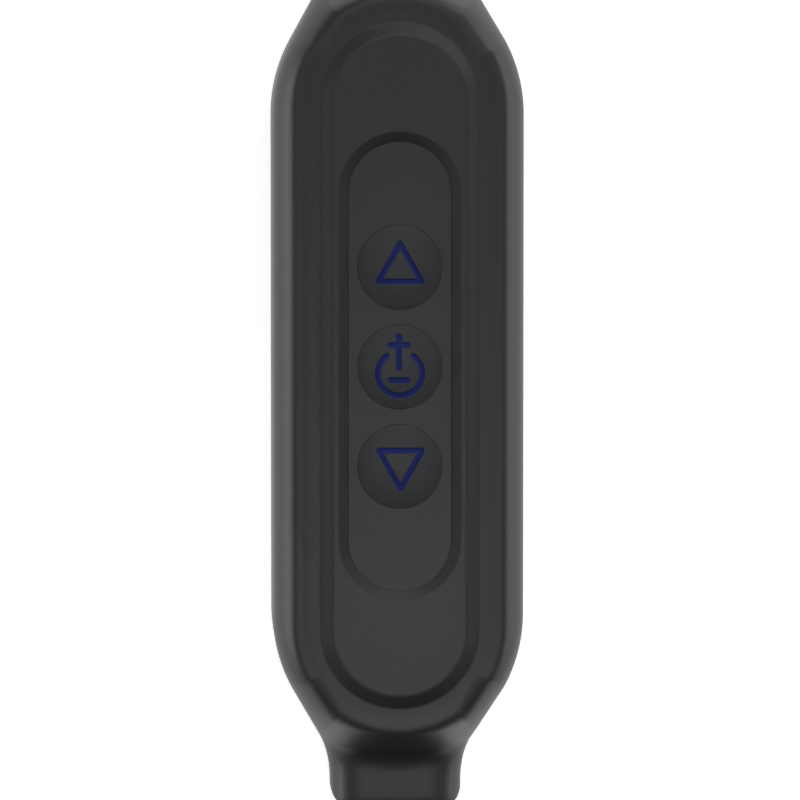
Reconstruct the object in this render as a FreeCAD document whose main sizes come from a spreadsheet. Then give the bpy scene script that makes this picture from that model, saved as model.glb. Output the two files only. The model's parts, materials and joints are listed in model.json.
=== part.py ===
import FreeCAD, Part
import math
import os
import re
import Sketcher

# Neckband earphones, lying flat with the key tops up.
# +Z is up, +Y points to the nape, and the wearer's left arm is on +X.
# The origin is on the table, under the middle of the whole outline.

Vector = FreeCAD.Vector
doc = FreeCAD.newDocument("NeckbandEarphones")

SIZES = {
    # Band: a rounded strip, bent round the neck
    "band_width": 9.5,
    "band_height": 5.0,
    "band_corner": 2.0,
    "arm_spacing": 124.0,
    "nape_at": 27.13,
    "flex_length": 12.0,
    "wire_radius": 0.5,
    "harness_radius": 0.7,
    "core_offset": 2.3,
    "core_gap": 1.0,
    "flex_bore": 3.4,
    "flex_bore_low": 1.4,
    "flex_bore_high": 3.6,
    "flex_bore_corner": 0.8,
    "bore_clearance": 0.05,
    # Pod: outline seen from above, and the drop to the band at each end
    "pod_at": -43.66,
    "pod_half_width": 9.0,
    "pod_height": 10.4,
    "tail_reach": 32.5,
    "neck_reach": 31.0,
    "side_reach": 17.9,
    "taper_reach": 30.6,
    "taper_outer_bend": 11.2,
    "taper_inner_bend": 8.1,
    "drop_start": 24.9,
    "drop_end": 30.6,
    "drop_outer_bend": 2.6,
    "drop_inner_bend": 2.2,
    "top_rounding": 2.3,
    "bottom_rounding": 1.5,
    "tail_rounding": 1.1,
    # Casing inside the pod
    "case_reach": 17.4,
    "case_radius": 7.2,
    "case_wall": 0.9,
    "case_bottom": 0.9,
    "case_floor": 1.7,
    "case_split": 6.2,
    "case_top": 9.1,
    "case_lid": 0.8,
    "fit_gap": 0.05,
    "frame_opening": 4.2,
    "core_run": 8.3,
    "core_end": 19.0,
    "screw_reach": 21.4,
    "screw_well": 3.0,
    "screw_radius": 0.7,
    "screw_head_radius": 1.25,
    "screw_head_height": 0.8,
    "screw_length": 4.6,
    "boss_radius": 1.4,
    "post_radius": 0.8,
    "post_across": 5.3,
    "post_along": 9.5,
    # Face plate: flat, with a sloping edge
    "plate_reach": 18.8,
    "plate_radius": 4.75,
    "plate_skirt": 5.65,
    "plate_top": 10.85,
    "plate_bottom": 9.15,
    # Key panel, sunk in the plate
    "panel_reach": 12.45,
    "panel_radius": 3.64,
    "panel_rim": 4.36,
    "panel_top": 10.55,
    "panel_flange": 4.6,
    "panel_flange_height": 0.58,
    # Key tops
    "key_radius": 3.0,
    "key_pitch": 7.1,
    "key_gap": 0.03,
    "key_edge": 10.6,
    "key_dome": 0.36,
    "key_flange": 3.3,
    "key_flange_height": 0.35,
    "key_bottom": 8.77,
    "stem_radius": 0.9,
    "stem_bottom": 7.8,
    "web_bottom": 7.95,
    "web_height": 0.3,
    "web_radius": 5.4,
    # Board and what is on it
    "board_bottom": 5.4,
    "board_height": 0.8,
    "board_reach": 13.0,
    "board_radius": 6.2,
    "switch_size": 3.4,
    "switch_height": 1.2,
    "switch_bore": 0.85,
    "plunger_radius": 0.75,
    "plunger_bottom": 7.1,
    "switch_well": 6.7,
    "module_width": 7.4,
    "module_length": 7.4,
    "module_height": 1.5,
    "module_at": -13.2,
    "motor_radius": 4.0,
    "motor_height": 2.7,
    "motor_at": -14.0,
    "microphone_width": 2.6,
    "microphone_length": 3.5,
    "microphone_height": 1.0,
    "microphone_at": 12.5,
    "microphone_across": 4.7,
    "port_hole": 0.5,
    # Charging port, on the outer side of the pod
    "socket_depth": 7.35,
    "socket_width": 8.94,
    "socket_height": 3.2,
    "socket_wall": 0.3,
    "socket_bottom": 2.15,
    "socket_face": 7.4,
    "socket_well": 6.2,
    "socket_tongue": 3.35,
    "socket_tongue_half": 0.35,
    "socket_tongue_length": 5.4,
    "cover_width": 12.4,
    "cover_height": 4.6,
    "cover_thickness": 0.9,
    "cover_bottom": 1.5,
    "cover_corner": 1.2,
    "cover_gap": 0.12,
    "cover_plug": 4.3,
    "cover_plug_low": 2.4,
    "cover_plug_high": 5.1,
    "cover_plug_depth": 0.5,
    # Cable gland, flush with the outer side
    "gland_at": -12.6,
    "gland_height": 3.6,
    "gland_radius": 1.3,
    "gland_bore": 0.9,
    "gland_flange": 1.75,
    "gland_flange_height": 0.8,
    # Magnets that hold the buds at the tail ends
    "magnet_radius": 2.0,
    "magnet_height": 2.0,
    "magnet_depth": 0.6,
    # Battery pod
    "cell_width": 11.6,
    "cell_length": 25.0,
    "cell_height": 5.2,
    "cell_at": 3.9,
    "foam_height": 0.5,
    "guard_length": 9.0,
    "guard_width": 4.0,
    "guard_height": 0.8,
    "guard_at": -14.0,
    # Clamp that holds the memory wire in the pod
    "anchor_length": 2.2,
    "anchor_width": 2.4,
    "anchor_height": 2.0,
    "anchor_across": 2.75,
    # Ear bud: axis along Y at this height, its back on the tail's end
    "bud_axis": 5.2,
    "bud_gap": 0.05,
    "bud_radius": 5.2,
    "bud_wall": 0.8,
    "cap_depth": 2.6,
    "cap_rounding": 0.9,
    "shell_straight": 3.0,
    "shell_front": 9.0,
    "shell_mouth": 3.0,
    "nozzle_tilt": 18.0,
    "nozzle_radius": 2.4,
    "nozzle_bore": 1.7,
    "nozzle_at": 6.0,
    "nozzle_length": 9.4,
    "shell_well": 2.4,
    "shell_well_end": 8.2,
    "mesh_height": 0.3,
    "driver_radius": 4.0,
    "driver_height": 2.2,
    "driver_at": 3.2,
    "diaphragm_radius": 3.7,
    "diaphragm_height": 0.15,
    "diaphragm_at": 5.43,
    "tip_radius": 6.0,
    "tip_mouth": 3.3,
    "tip_start": 4.0,
    "tip_length": 7.2,
    "tip_seat": 5.6,
    "cable_hole_at": 4.1,
    "bud_magnet_radius": 1.5,
    "bud_magnet_height": 1.4,
    "bud_magnet_drop": 2.2,
}


# Spreadsheet and formulas

def make_sheet():
    """The driving sizes, one named cell each."""
    cells = doc.addObject("Spreadsheet::Sheet", "Sizes")
    for row, (name, size) in enumerate(SIZES.items(), start=1):
        cells.set("A%d" % row, name)
        cells.set("B%d" % row, str(size))
        cells.setAlias("B%d" % row, name)
    doc.recompute()
    return cells


sheet = make_sheet()


def bound(formula):
    """A formula of cell names as an expression on the sheet."""
    return re.sub(r"\b([a-z]\w*)\b", r"Sizes.\1", formula)


def value(formula):
    return float(sheet.evalExpression(bound(formula)))


# Sketches

def new_body(name, place=("0", "0", "0"), groups=False):
    """An empty body, placed by formulas for X, Y and Z."""
    body = doc.addObject("PartDesign::Body", name)
    body.Label = name
    body.AllowCompound = groups
    for axis, formula in zip("xyz", place):
        body.setExpression("Placement.Base." + axis, bound(formula))
    return body


def sketch_on(body, role, level="0"):
    """An empty sketch on one of the body's own planes, moved along the plane's normal."""
    plane = [p for p in body.Origin.OriginFeatures if p.Role == role][0]
    sketch = body.newObject("Sketcher::SketchObject", "Sketch")
    sketch.AttachmentSupport = [(plane, "")]
    sketch.MapMode = "FlatFace"
    sketch.setExpression("AttachmentOffset.Base.z", bound(level))
    return sketch


def bind(sketch, constraint, formula):
    """Add a sized constraint and tie it to the sheet."""
    index = sketch.addConstraint(constraint)
    label = "size_%d" % index
    sketch.renameConstraint(index, label)
    sketch.setExpression("Constraints." + label, bound(formula))


def hold(sketch, geometry, point, across=None, along=None):
    """Hold a point at signed distances from the sketch's origin."""
    for kind, axis, formula in (("DistanceX", -2, across), ("DistanceY", -1, along)):
        if formula is None:
            continue
        if formula == "0":
            sketch.addConstraint(Sketcher.Constraint("PointOnObject", geometry, point, axis))
        else:
            size = value(formula)
            bind(sketch, Sketcher.Constraint(kind, -1, 1, geometry, point, size), formula)


def size_radius(sketch, geometry, formula):
    bind(sketch, Sketcher.Constraint("Radius", geometry, value(formula)), formula)


def line(sketch, start, end):
    return sketch.addGeometry(Part.LineSegment(Vector(*start), Vector(*end)))


def arc(sketch, centre, radius, start, end):
    """Arc that runs anticlockwise between two angles in degrees."""
    ring = Part.Circle(Vector(*centre), Vector(0, 0, 1), radius)
    span = Part.ArcOfCircle(ring, math.radians(start), math.radians(end))
    return sketch.addGeometry(span)


def join(sketch, kind, pairs):
    for first, first_point, second, second_point in pairs:
        sketch.addConstraint(Sketcher.Constraint(kind, first, first_point, second, second_point))


def level_lines(sketch, kind, lines):
    for geometry in lines:
        sketch.addConstraint(Sketcher.Constraint(kind, geometry))


def circle(sketch, radius, across="0", along="0"):
    centre = Vector(value(across), value(along), 0)
    ring = sketch.addGeometry(Part.Circle(centre, Vector(0, 0, 1), value(radius)))
    hold(sketch, ring, 3, across, along)
    size_radius(sketch, ring, radius)


def rectangle(sketch, low_across, low_along, high_across, high_along):
    x0, y0 = value(low_across), value(low_along)
    x1, y1 = value(high_across), value(high_along)
    corners = [(x0, y0), (x1, y0), (x1, y1), (x0, y1)]
    sides = [line(sketch, corners[i], corners[(i + 1) % 4]) for i in range(4)]
    join(sketch, "Coincident", [(sides[i], 2, sides[(i + 1) % 4], 1) for i in range(4)])
    level_lines(sketch, "Horizontal", (sides[0], sides[2]))
    level_lines(sketch, "Vertical", (sides[1], sides[3]))
    hold(sketch, sides[0], 1, low_across, low_along)
    hold(sketch, sides[2], 1, high_across, high_along)


def stadium(sketch, reach, radius):
    """Slot along the sketch's vertical, with its end centres at plus and minus reach."""
    c, r = value(reach), value(radius)
    right = line(sketch, (r, -c), (r, c))
    top = arc(sketch, (0, c), r, 0, 180)
    left = line(sketch, (-r, c), (-r, -c))
    bottom = arc(sketch, (0, -c), r, 180, 360)
    ring = [right, top, left, bottom]
    join(sketch, "Tangent", [(ring[i], 2, ring[(i + 1) % 4], 1) for i in range(4)])
    sketch.addConstraint(Sketcher.Constraint("Equal", top, bottom))
    hold(sketch, top, 3, "0", reach)
    hold(sketch, bottom, 3, "0", "-(" + reach + ")")
    size_radius(sketch, top, radius)


def rounded_rectangle(sketch, across, half_width, low, high, corner):
    """Rectangle with round corners, between two heights and about one vertical line."""
    x, a, r = value(across), value(half_width), value(corner)
    y0, y1 = value(low), value(high)
    bottom = line(sketch, (x - a + r, y0), (x + a - r, y0))
    low_right = arc(sketch, (x + a - r, y0 + r), r, 270, 360)
    right = line(sketch, (x + a, y0 + r), (x + a, y1 - r))
    high_right = arc(sketch, (x + a - r, y1 - r), r, 0, 90)
    top = line(sketch, (x + a - r, y1), (x - a + r, y1))
    high_left = arc(sketch, (x - a + r, y1 - r), r, 90, 180)
    left = line(sketch, (x - a, y1 - r), (x - a, y0 + r))
    low_left = arc(sketch, (x - a + r, y0 + r), r, 180, 270)
    ring = [bottom, low_right, right, high_right, top, high_left, left, low_left]
    join(sketch, "Tangent", [(ring[i], 2, ring[(i + 1) % 8], 1) for i in range(8)])
    for other in (high_right, high_left, low_left):
        sketch.addConstraint(Sketcher.Constraint("Equal", low_right, other))
    size_radius(sketch, low_right, corner)
    level_lines(sketch, "Horizontal", (bottom,))
    hold(sketch, bottom, 1, None, low)
    hold(sketch, top, 1, None, high)
    hold(sketch, left, 1, across + " - " + half_width, None)
    hold(sketch, right, 1, across + " + " + half_width, None)


def band_section(sketch, across="0"):
    rounded_rectangle(sketch, across, "band_width / 2", "0", "band_height", "band_corner")


# Features

def pad(body, sketch, length, backwards=False):
    """Material along the sketch's normal, or against it."""
    feature = body.newObject("PartDesign::Pad", "Pad")
    feature.Profile = sketch
    feature.setExpression("Length", bound(length))
    feature.Reversed = backwards
    return feature


def cut(body, sketch, length, backwards=False):
    """A pocket along the sketch's normal, or against it, proved by the volume."""
    doc.recompute()
    before = body.Shape.Volume
    feature = body.newObject("PartDesign::Pocket", "Pocket")
    feature.Profile = sketch
    feature.setExpression("Length", bound(length))
    feature.Reversed = not backwards
    doc.recompute()
    if body.Shape.Volume > before - 1e-4:
        raise RuntimeError(body.Label + ": a pocket removes nothing")
    return feature


def mirror(body, feature, role):
    plane = [p for p in body.Origin.OriginFeatures if p.Role == role][0]
    copy = body.newObject("PartDesign::Mirrored", "Mirrored")
    copy.Originals = [feature]
    copy.MirrorPlane = (plane, [""])
    body.Tip = copy
    return copy


def round_edges(body, radius, wanted):
    """Fillet every edge of the tip that the test accepts."""
    doc.recompute()
    base = body.Tip
    names = ["Edge%d" % (i + 1) for i, edge in enumerate(base.Shape.Edges) if wanted(edge)]
    feature = body.newObject("PartDesign::Fillet", "Fillet")
    feature.Base = (base, names)
    feature.setExpression("Radius", bound(radius))
    doc.recompute()
    return feature


def revolve(body, sketch, angle=360.0):
    feature = body.newObject("PartDesign::Revolution", "Revolution")
    feature.Profile = sketch
    feature.ReferenceAxis = (sketch, ["V_Axis"])
    feature.Angle = angle
    return feature


def loft(body, kind, first, second):
    feature = body.newObject("PartDesign::" + kind, "Loft")
    feature.Profile = first
    feature.Sections = [second]
    feature.Ruled = True
    return feature


def block(name, width, length, height, place):
    """A plain box, centred on its place and standing on it."""
    box = doc.addObject("Part::Box", name)
    box.Label = name
    box.setExpression("Length", bound(width))
    box.setExpression("Width", bound(length))
    box.setExpression("Height", bound(height))
    middle = (place[0] + " - " + width + " / 2", place[1] + " - " + length + " / 2", place[2])
    for axis, formula in zip("xyz", middle):
        box.setExpression("Placement.Base." + axis, bound(formula))
    return box


# Pod body: outline, height profile and rounding

def common_normal(first, first_radius, second, second_radius, side):
    """Angle of the normal shared by two circles whose tangent line crosses between them."""
    dx = second[0] - first[0]
    dy = second[1] - first[1]
    turn = math.degrees(math.acos((first_radius + second_radius) / math.hypot(dx, dy)))
    return math.degrees(math.atan2(dy, dx)) + side * turn


def on_circle(centre, radius, angle):
    turn = math.radians(angle)
    return (centre[0] + radius * math.cos(turn), centre[1] + radius * math.sin(turn))


def pod_outline(sketch):
    """Half outline from above: straight side, and an S-bend down to the band at each end."""
    neck, side = value("band_width / 2"), value("pod_half_width")
    outer, inner = value("taper_outer_bend"), value("taper_inner_bend")
    start, foot = value("side_reach"), value("taper_reach")
    tail_end, neck_end = -value("tail_reach"), value("neck_reach")
    high_outer, high_inner = (side - outer, start), (neck + inner, foot)
    low_outer, low_inner = (side - outer, -start), (neck + inner, -foot)
    normal = common_normal(high_outer, outer, high_inner, inner, -1)
    slope_start = on_circle(high_outer, outer, normal)
    slope_end = on_circle(high_inner, inner, 180 + normal)
    line(sketch, (0, tail_end), (neck, tail_end))
    line(sketch, (neck, tail_end), (neck, -foot))
    arc(sketch, low_inner, inner, 180 - normal, 180)
    line(sketch, (slope_end[0], -slope_end[1]), (slope_start[0], -slope_start[1]))
    arc(sketch, low_outer, outer, -normal, 0)
    line(sketch, (side, -start), (side, start))
    arc(sketch, high_outer, outer, 0, normal)
    line(sketch, slope_start, slope_end)
    arc(sketch, high_inner, inner, 180, 180 + normal)
    line(sketch, (neck, foot), (neck, neck_end))
    line(sketch, (neck, neck_end), (0, neck_end))
    line(sketch, (0, neck_end), (0, tail_end))
    smooth = [(1, 2, 2, 2), (2, 1, 3, 1), (3, 2, 4, 1), (4, 2, 5, 1)]
    smooth += [(5, 2, 6, 1), (6, 2, 7, 1), (7, 2, 8, 2), (8, 1, 9, 1)]
    join(sketch, "Tangent", smooth)
    join(sketch, "Coincident", [(0, 2, 1, 1), (9, 2, 10, 1), (10, 2, 11, 1), (11, 2, 0, 1)])
    level_lines(sketch, "Vertical", (1, 5, 9, 11))
    level_lines(sketch, "Horizontal", (0, 10))
    hold(sketch, 11, 1, "0", "neck_reach")
    hold(sketch, 0, 1, None, "-tail_reach")
    hold(sketch, 1, 1, "band_width / 2")
    hold(sketch, 9, 1, "band_width / 2")
    hold(sketch, 5, 1, "pod_half_width")
    hold(sketch, 2, 3, None, "-taper_reach")
    hold(sketch, 8, 3, None, "taper_reach")
    hold(sketch, 4, 3, None, "-side_reach")
    hold(sketch, 6, 3, None, "side_reach")
    for bend in (2, 8):
        size_radius(sketch, bend, "taper_inner_bend")
    for bend in (4, 6):
        size_radius(sketch, bend, "taper_outer_bend")


def drop_profile(sketch):
    """Everything above the pod's height profile, at one end, seen from the side."""
    start, foot = value("drop_start"), value("drop_end")
    outer, inner = value("drop_outer_bend"), value("drop_inner_bend")
    shoulder, neck = value("pod_height"), value("band_height")
    far = foot + value("tail_reach")
    high = shoulder + neck
    outer_centre, inner_centre = (start, shoulder - outer), (foot, neck + inner)
    normal = common_normal(outer_centre, outer, inner_centre, inner, 1)
    slope_start = on_circle(outer_centre, outer, normal)
    slope_end = on_circle(inner_centre, inner, 180 + normal)
    line(sketch, (start, high), (start, shoulder))
    arc(sketch, outer_centre, outer, normal, 90)
    line(sketch, slope_start, slope_end)
    arc(sketch, inner_centre, inner, 180 + normal, 270)
    line(sketch, (foot, neck), (far, neck))
    line(sketch, (far, neck), (far, high))
    line(sketch, (far, high), (start, high))
    join(sketch, "Coincident", [(0, 2, 1, 2), (4, 2, 5, 1), (5, 2, 6, 1), (6, 2, 0, 1)])
    join(sketch, "Tangent", [(1, 1, 2, 1), (2, 2, 3, 1), (3, 2, 4, 1)])
    level_lines(sketch, "Vertical", (0, 5))
    level_lines(sketch, "Horizontal", (4, 6))
    hold(sketch, 0, 2, "drop_start", "pod_height")
    hold(sketch, 1, 3, "drop_start")
    hold(sketch, 3, 3, "drop_end")
    hold(sketch, 4, 1, None, "band_height")
    hold(sketch, 5, 2, "drop_end + tail_reach", "pod_height + band_height")
    size_radius(sketch, 1, "drop_outer_bend")
    size_radius(sketch, 3, "drop_inner_bend")


def middle_of(edge):
    return edge.valueAt((edge.FirstParameter + edge.LastParameter) / 2)


def top_edge(edge):
    low = min(corner.Point.z for corner in edge.Vertexes)
    return low > value("band_height") - 0.01 and abs(middle_of(edge).x) > value("band_width / 2") - 0.01


def bottom_edge(edge):
    high = max(corner.Point.z for corner in edge.Vertexes)
    return high < 0.01 and abs(middle_of(edge).x) > value("band_width / 2") - 0.01


def tail_edge(edge):
    return max(abs(corner.Point.y + value("tail_reach")) for corner in edge.Vertexes) < 0.01


def pod_place(side):
    return ("%d * arm_spacing / 2" % side, "pod_at", "0")


def side_hole(body, side, draw, depth):
    """Cut a sketch into the pod from its outer side, the one away from the neck."""
    sketch = sketch_on(body, "YZ_Plane", "%d * (pod_half_width + fit_gap)" % side)
    draw(sketch)
    cut(body, sketch, depth, backwards=side > 0)


def core_bores(sketch, side, across="0", clearance="bore_clearance"):
    """The two bores along the band: memory wire outside, harness on the neck side."""
    wire_across = "%s + %d * core_offset" % (across, side)
    harness_across = "%s - %d * core_offset" % (across, side)
    circle(sketch, "wire_radius + " + clearance, wire_across, "band_height / 2")
    circle(sketch, "harness_radius + " + clearance, harness_across, "band_height / 2")


def make_pod_skin(side, name, control):
    body = new_body(name, pod_place(side))
    outline = sketch_on(body, "XY_Plane")
    pod_outline(outline)
    half = pad(body, outline, "pod_height")
    doc.recompute()
    mirror(body, half, "YZ_Plane")
    profile = sketch_on(body, "YZ_Plane", "-pod_half_width")
    drop_profile(profile)
    drop = cut(body, profile, "2 * pod_half_width")
    mirror(body, drop, "XZ_Plane")
    round_edges(body, "top_rounding", top_edge)
    round_edges(body, "bottom_rounding", bottom_edge)
    round_edges(body, "tail_rounding", tail_edge)
    cavity = sketch_on(body, "XY_Plane", "case_bottom - fit_gap")
    stadium(cavity, "case_reach", "case_radius + fit_gap")
    cut(body, cavity, "case_top - case_bottom + 2 * fit_gap")
    opening = sketch_on(body, "XY_Plane", "case_top")
    stadium(opening, "plate_reach", "plate_skirt + key_gap")
    cut(body, opening, "pod_height - case_top + fit_gap")
    bores = sketch_on(body, "XZ_Plane", "-neck_reach")
    core_bores(bores, side)
    cut(body, bores, "core_run")
    seat = sketch_on(body, "XZ_Plane", "tail_reach - magnet_depth - magnet_height")
    circle(seat, "magnet_radius + key_gap", "0", "band_height / 2")
    cut(body, seat, "magnet_height")
    wall = "pod_half_width - case_radius + 2 * fit_gap"
    side_hole(body, side, gland_hole, wall)
    if control:
        side_hole(body, side, cover_recess, "cover_thickness + 2 * fit_gap")
        side_hole(body, side, socket_hole, wall)
        side_hole(body, side, sound_hole, wall)
    return body


def gland_hole(sketch):
    circle(sketch, "gland_radius + key_gap", "gland_at", "gland_height")


def cover_recess(sketch):
    half_width = "(cover_width / 2 + cover_gap)"
    low, high = "cover_bottom - cover_gap", "cover_bottom + cover_height + cover_gap"
    rounded_rectangle(sketch, "0", half_width, low, high, "cover_corner + cover_gap")


def socket_hole(sketch):
    half_width = "socket_width / 2 + fit_gap"
    high = "socket_bottom + socket_height + fit_gap"
    rectangle(sketch, "-(%s)" % half_width, "socket_bottom - fit_gap", half_width, high)


def sound_hole(sketch):
    circle(sketch, "port_hole", "microphone_at", "board_bottom - microphone_height / 2")


# Casing inside the pod

def screw_circles(sketch, radius):
    circle(sketch, radius, "0", "screw_reach")
    circle(sketch, radius, "0", "-screw_reach")


def make_rear_shell(side, name, control):
    body = new_body(name, pod_place(side))
    outside = sketch_on(body, "XY_Plane", "case_bottom")
    stadium(outside, "case_reach", "case_radius")
    pad(body, outside, "case_split - case_bottom")
    inside = sketch_on(body, "XY_Plane", "case_floor")
    stadium(inside, "case_reach", "case_radius - case_wall")
    cut(body, inside, "case_split - case_floor")
    bosses = sketch_on(body, "XY_Plane", "case_floor")
    screw_circles(bosses, "boss_radius")
    pad(body, bosses, "case_split - case_floor")
    if control:
        posts = sketch_on(body, "XY_Plane", "case_floor")
        for across in ("-post_across", "post_across"):
            for along in ("-post_along", "post_along"):
                circle(posts, "post_radius", across, along)
        pad(body, posts, "board_bottom - case_floor")
    wells = sketch_on(body, "XY_Plane", "case_split")
    screw_circles(wells, "screw_radius + key_gap")
    cut(body, wells, "screw_well", backwards=True)
    bores = sketch_on(body, "XZ_Plane", "-neck_reach")
    core_bores(bores, side)
    cut(body, bores, "core_run")
    wall = "pod_half_width - case_radius + case_wall + 2 * fit_gap"
    side_hole(body, side, gland_hole, wall)
    if control:
        side_hole(body, side, socket_hole, wall)
        side_hole(body, side, sound_hole, wall)
    return body


def make_front_frame(side, name, control):
    body = new_body(name, pod_place(side))
    outside = sketch_on(body, "XY_Plane", "case_split")
    stadium(outside, "case_reach", "case_radius")
    pad(body, outside, "case_top - case_split")
    inside = sketch_on(body, "XY_Plane", "case_split")
    stadium(inside, "case_reach", "case_radius - case_wall")
    cut(body, inside, "case_top - case_lid - case_split")
    columns = sketch_on(body, "XY_Plane", "case_split")
    screw_circles(columns, "boss_radius")
    pad(body, columns, "case_top - case_split")
    holes = sketch_on(body, "XY_Plane", "case_split")
    screw_circles(holes, "screw_radius + key_gap")
    cut(body, holes, "case_top - case_split")
    heads = sketch_on(body, "XY_Plane", "case_top - screw_head_height")
    screw_circles(heads, "screw_head_radius + key_gap")
    cut(body, heads, "screw_head_height")
    if control:
        opening = sketch_on(body, "XY_Plane", "case_top")
        stadium(opening, "panel_reach", "frame_opening")
        cut(body, opening, "case_lid", backwards=True)
    return body


def make_case_screws(side, name):
    body = new_body(name, pod_place(side), groups=True)
    heads = sketch_on(body, "XY_Plane", "case_top - screw_head_height")
    screw_circles(heads, "screw_head_radius")
    pad(body, heads, "screw_head_height")
    shanks = sketch_on(body, "XY_Plane", "case_top - screw_head_height")
    screw_circles(shanks, "screw_radius")
    pad(body, shanks, "screw_length", backwards=True)
    return body


def make_face_plate(side, name, control):
    body = new_body(name, pod_place(side))
    skirt = sketch_on(body, "XY_Plane", "plate_bottom")
    stadium(skirt, "plate_reach", "plate_skirt")
    pad(body, skirt, "pod_height - plate_bottom")
    foot = sketch_on(body, "XY_Plane", "pod_height")
    stadium(foot, "plate_reach", "plate_skirt")
    face = sketch_on(body, "XY_Plane", "plate_top")
    stadium(face, "plate_reach", "plate_radius")
    doc.recompute()
    loft(body, "AdditiveLoft", foot, face)
    if control:
        opening = sketch_on(body, "XY_Plane", "plate_bottom")
        stadium(opening, "panel_reach", "panel_radius + key_gap")
        cut(body, opening, "plate_top - plate_bottom")
        low = sketch_on(body, "XY_Plane", "panel_top")
        stadium(low, "panel_reach", "panel_radius + key_gap")
        high = sketch_on(body, "XY_Plane", "plate_top")
        stadium(high, "panel_reach", "panel_rim")
        doc.recompute()
        loft(body, "SubtractiveLoft", low, high)
        seat = sketch_on(body, "XY_Plane", "plate_bottom")
        stadium(seat, "panel_reach", "panel_flange + fit_gap")
        cut(body, seat, "panel_flange_height")
    return body


# Keys

KEYS = (("volume_up", 1), ("power", 0), ("volume_down", -1))


def key_circles(sketch, radius):
    for name, step in KEYS:
        circle(sketch, radius, "0", "%d * key_pitch" % step if step else "0")


def make_key_panel():
    body = new_body("key_panel", pod_place(1))
    flange = sketch_on(body, "XY_Plane", "plate_bottom")
    stadium(flange, "panel_reach", "panel_flange")
    pad(body, flange, "panel_flange_height")
    panel = sketch_on(body, "XY_Plane", "plate_bottom")
    stadium(panel, "panel_reach", "panel_radius")
    pad(body, panel, "panel_top - plate_bottom")
    holes = sketch_on(body, "XY_Plane", "plate_bottom")
    key_circles(holes, "key_radius + key_gap")
    cut(body, holes, "panel_top - plate_bottom")
    return body


def key_place(step):
    return ("arm_spacing / 2", "pod_at + %d * key_pitch" % step, "0")


def dome_profile(sketch):
    """Half section of the domed top of a key."""
    edge, rise, radius = value("key_edge"), value("key_dome"), value("key_radius")
    bend = (radius ** 2 + rise ** 2) / (2 * rise)
    centre = (0, edge + rise - bend)
    start = math.degrees(math.acos(radius / bend))
    line(sketch, (0, edge + rise), (0, edge))
    line(sketch, (0, edge), (radius, edge))
    arc(sketch, centre, bend, start, 90)
    join(sketch, "Coincident", [(0, 2, 1, 1), (1, 2, 2, 1), (2, 2, 0, 1)])
    level_lines(sketch, "Vertical", (0,))
    level_lines(sketch, "Horizontal", (1,))
    hold(sketch, 0, 1, "0", "key_edge + key_dome")
    hold(sketch, 1, 2, "key_radius", "key_edge")
    sketch.addConstraint(Sketcher.Constraint("PointOnObject", 2, 3, -2))


def make_key(name, step):
    body = new_body(name, key_place(step))
    flange = sketch_on(body, "XY_Plane", "key_bottom")
    circle(flange, "key_flange")
    pad(body, flange, "key_flange_height")
    cap = sketch_on(body, "XY_Plane", "key_bottom")
    circle(cap, "key_radius")
    pad(body, cap, "key_edge - key_bottom")
    stem = sketch_on(body, "XY_Plane", "stem_bottom")
    circle(stem, "stem_radius")
    pad(body, stem, "key_bottom - stem_bottom")
    dome = sketch_on(body, "XZ_Plane")
    dome_profile(dome)
    revolve(body, dome)
    return body


def make_plunger(name, step):
    body = new_body(name, key_place(step))
    pin = sketch_on(body, "XY_Plane", "plunger_bottom")
    circle(pin, "plunger_radius")
    pad(body, pin, "stem_bottom - plunger_bottom")
    return body


def make_key_web():
    """Silicone sheet under the keys, with a hole for each stem."""
    body = new_body("key_web", pod_place(1))
    sheet_outline = sketch_on(body, "XY_Plane", "web_bottom")
    stadium(sheet_outline, "panel_reach", "web_radius")
    pad(body, sheet_outline, "web_height")
    holes = sketch_on(body, "XY_Plane", "web_bottom")
    key_circles(holes, "stem_radius + web_height")
    cut(body, holes, "web_height")
    return body


# Electronics of the control pod

def make_switches():
    body = new_body("tact_switches", pod_place(1), groups=True)
    level = "board_bottom + board_height"
    cases = sketch_on(body, "XY_Plane", level)
    for name, step in KEYS:
        low = "%d * key_pitch - switch_size / 2" % step
        high = "%d * key_pitch + switch_size / 2" % step
        rectangle(cases, "-switch_size / 2", low, "switch_size / 2", high)
    pad(body, cases, "switch_height")
    wells = sketch_on(body, "XY_Plane", "switch_well")
    key_circles(wells, "switch_bore")
    cut(body, wells, "board_bottom + board_height + switch_height - switch_well")
    return body


def make_board():
    body = new_body("main_board", pod_place(1))
    outline = sketch_on(body, "XY_Plane", "board_bottom")
    stadium(outline, "board_reach", "board_radius")
    pad(body, outline, "board_height")
    return body


def make_socket():
    """Charging receptacle: a metal tube with a closed back and a tongue."""
    body = new_body("usb_c_receptacle", pod_place(1))
    half, low = "socket_width / 2", "socket_bottom"
    outside = sketch_on(body, "YZ_Plane", "socket_face - socket_depth")
    rectangle(outside, "-" + half, low, half, low + " + socket_height")
    pad(body, outside, "socket_depth")
    inside = sketch_on(body, "YZ_Plane", "socket_face")
    inner_half = "(%s - socket_wall)" % half
    inner_high = low + " + socket_height - socket_wall"
    rectangle(inside, "-" + inner_half, low + " + socket_wall", inner_half, inner_high)
    cut(body, inside, "socket_well", backwards=True)
    tongue = sketch_on(body, "YZ_Plane", "socket_face - socket_depth")
    middle = low + " + socket_height / 2"
    tongue_low, tongue_high = middle + " - socket_tongue_half", middle + " + socket_tongue_half"
    rectangle(tongue, "-socket_tongue", tongue_low, "socket_tongue", tongue_high)
    pad(body, tongue, "socket_tongue_length")
    return body


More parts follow.
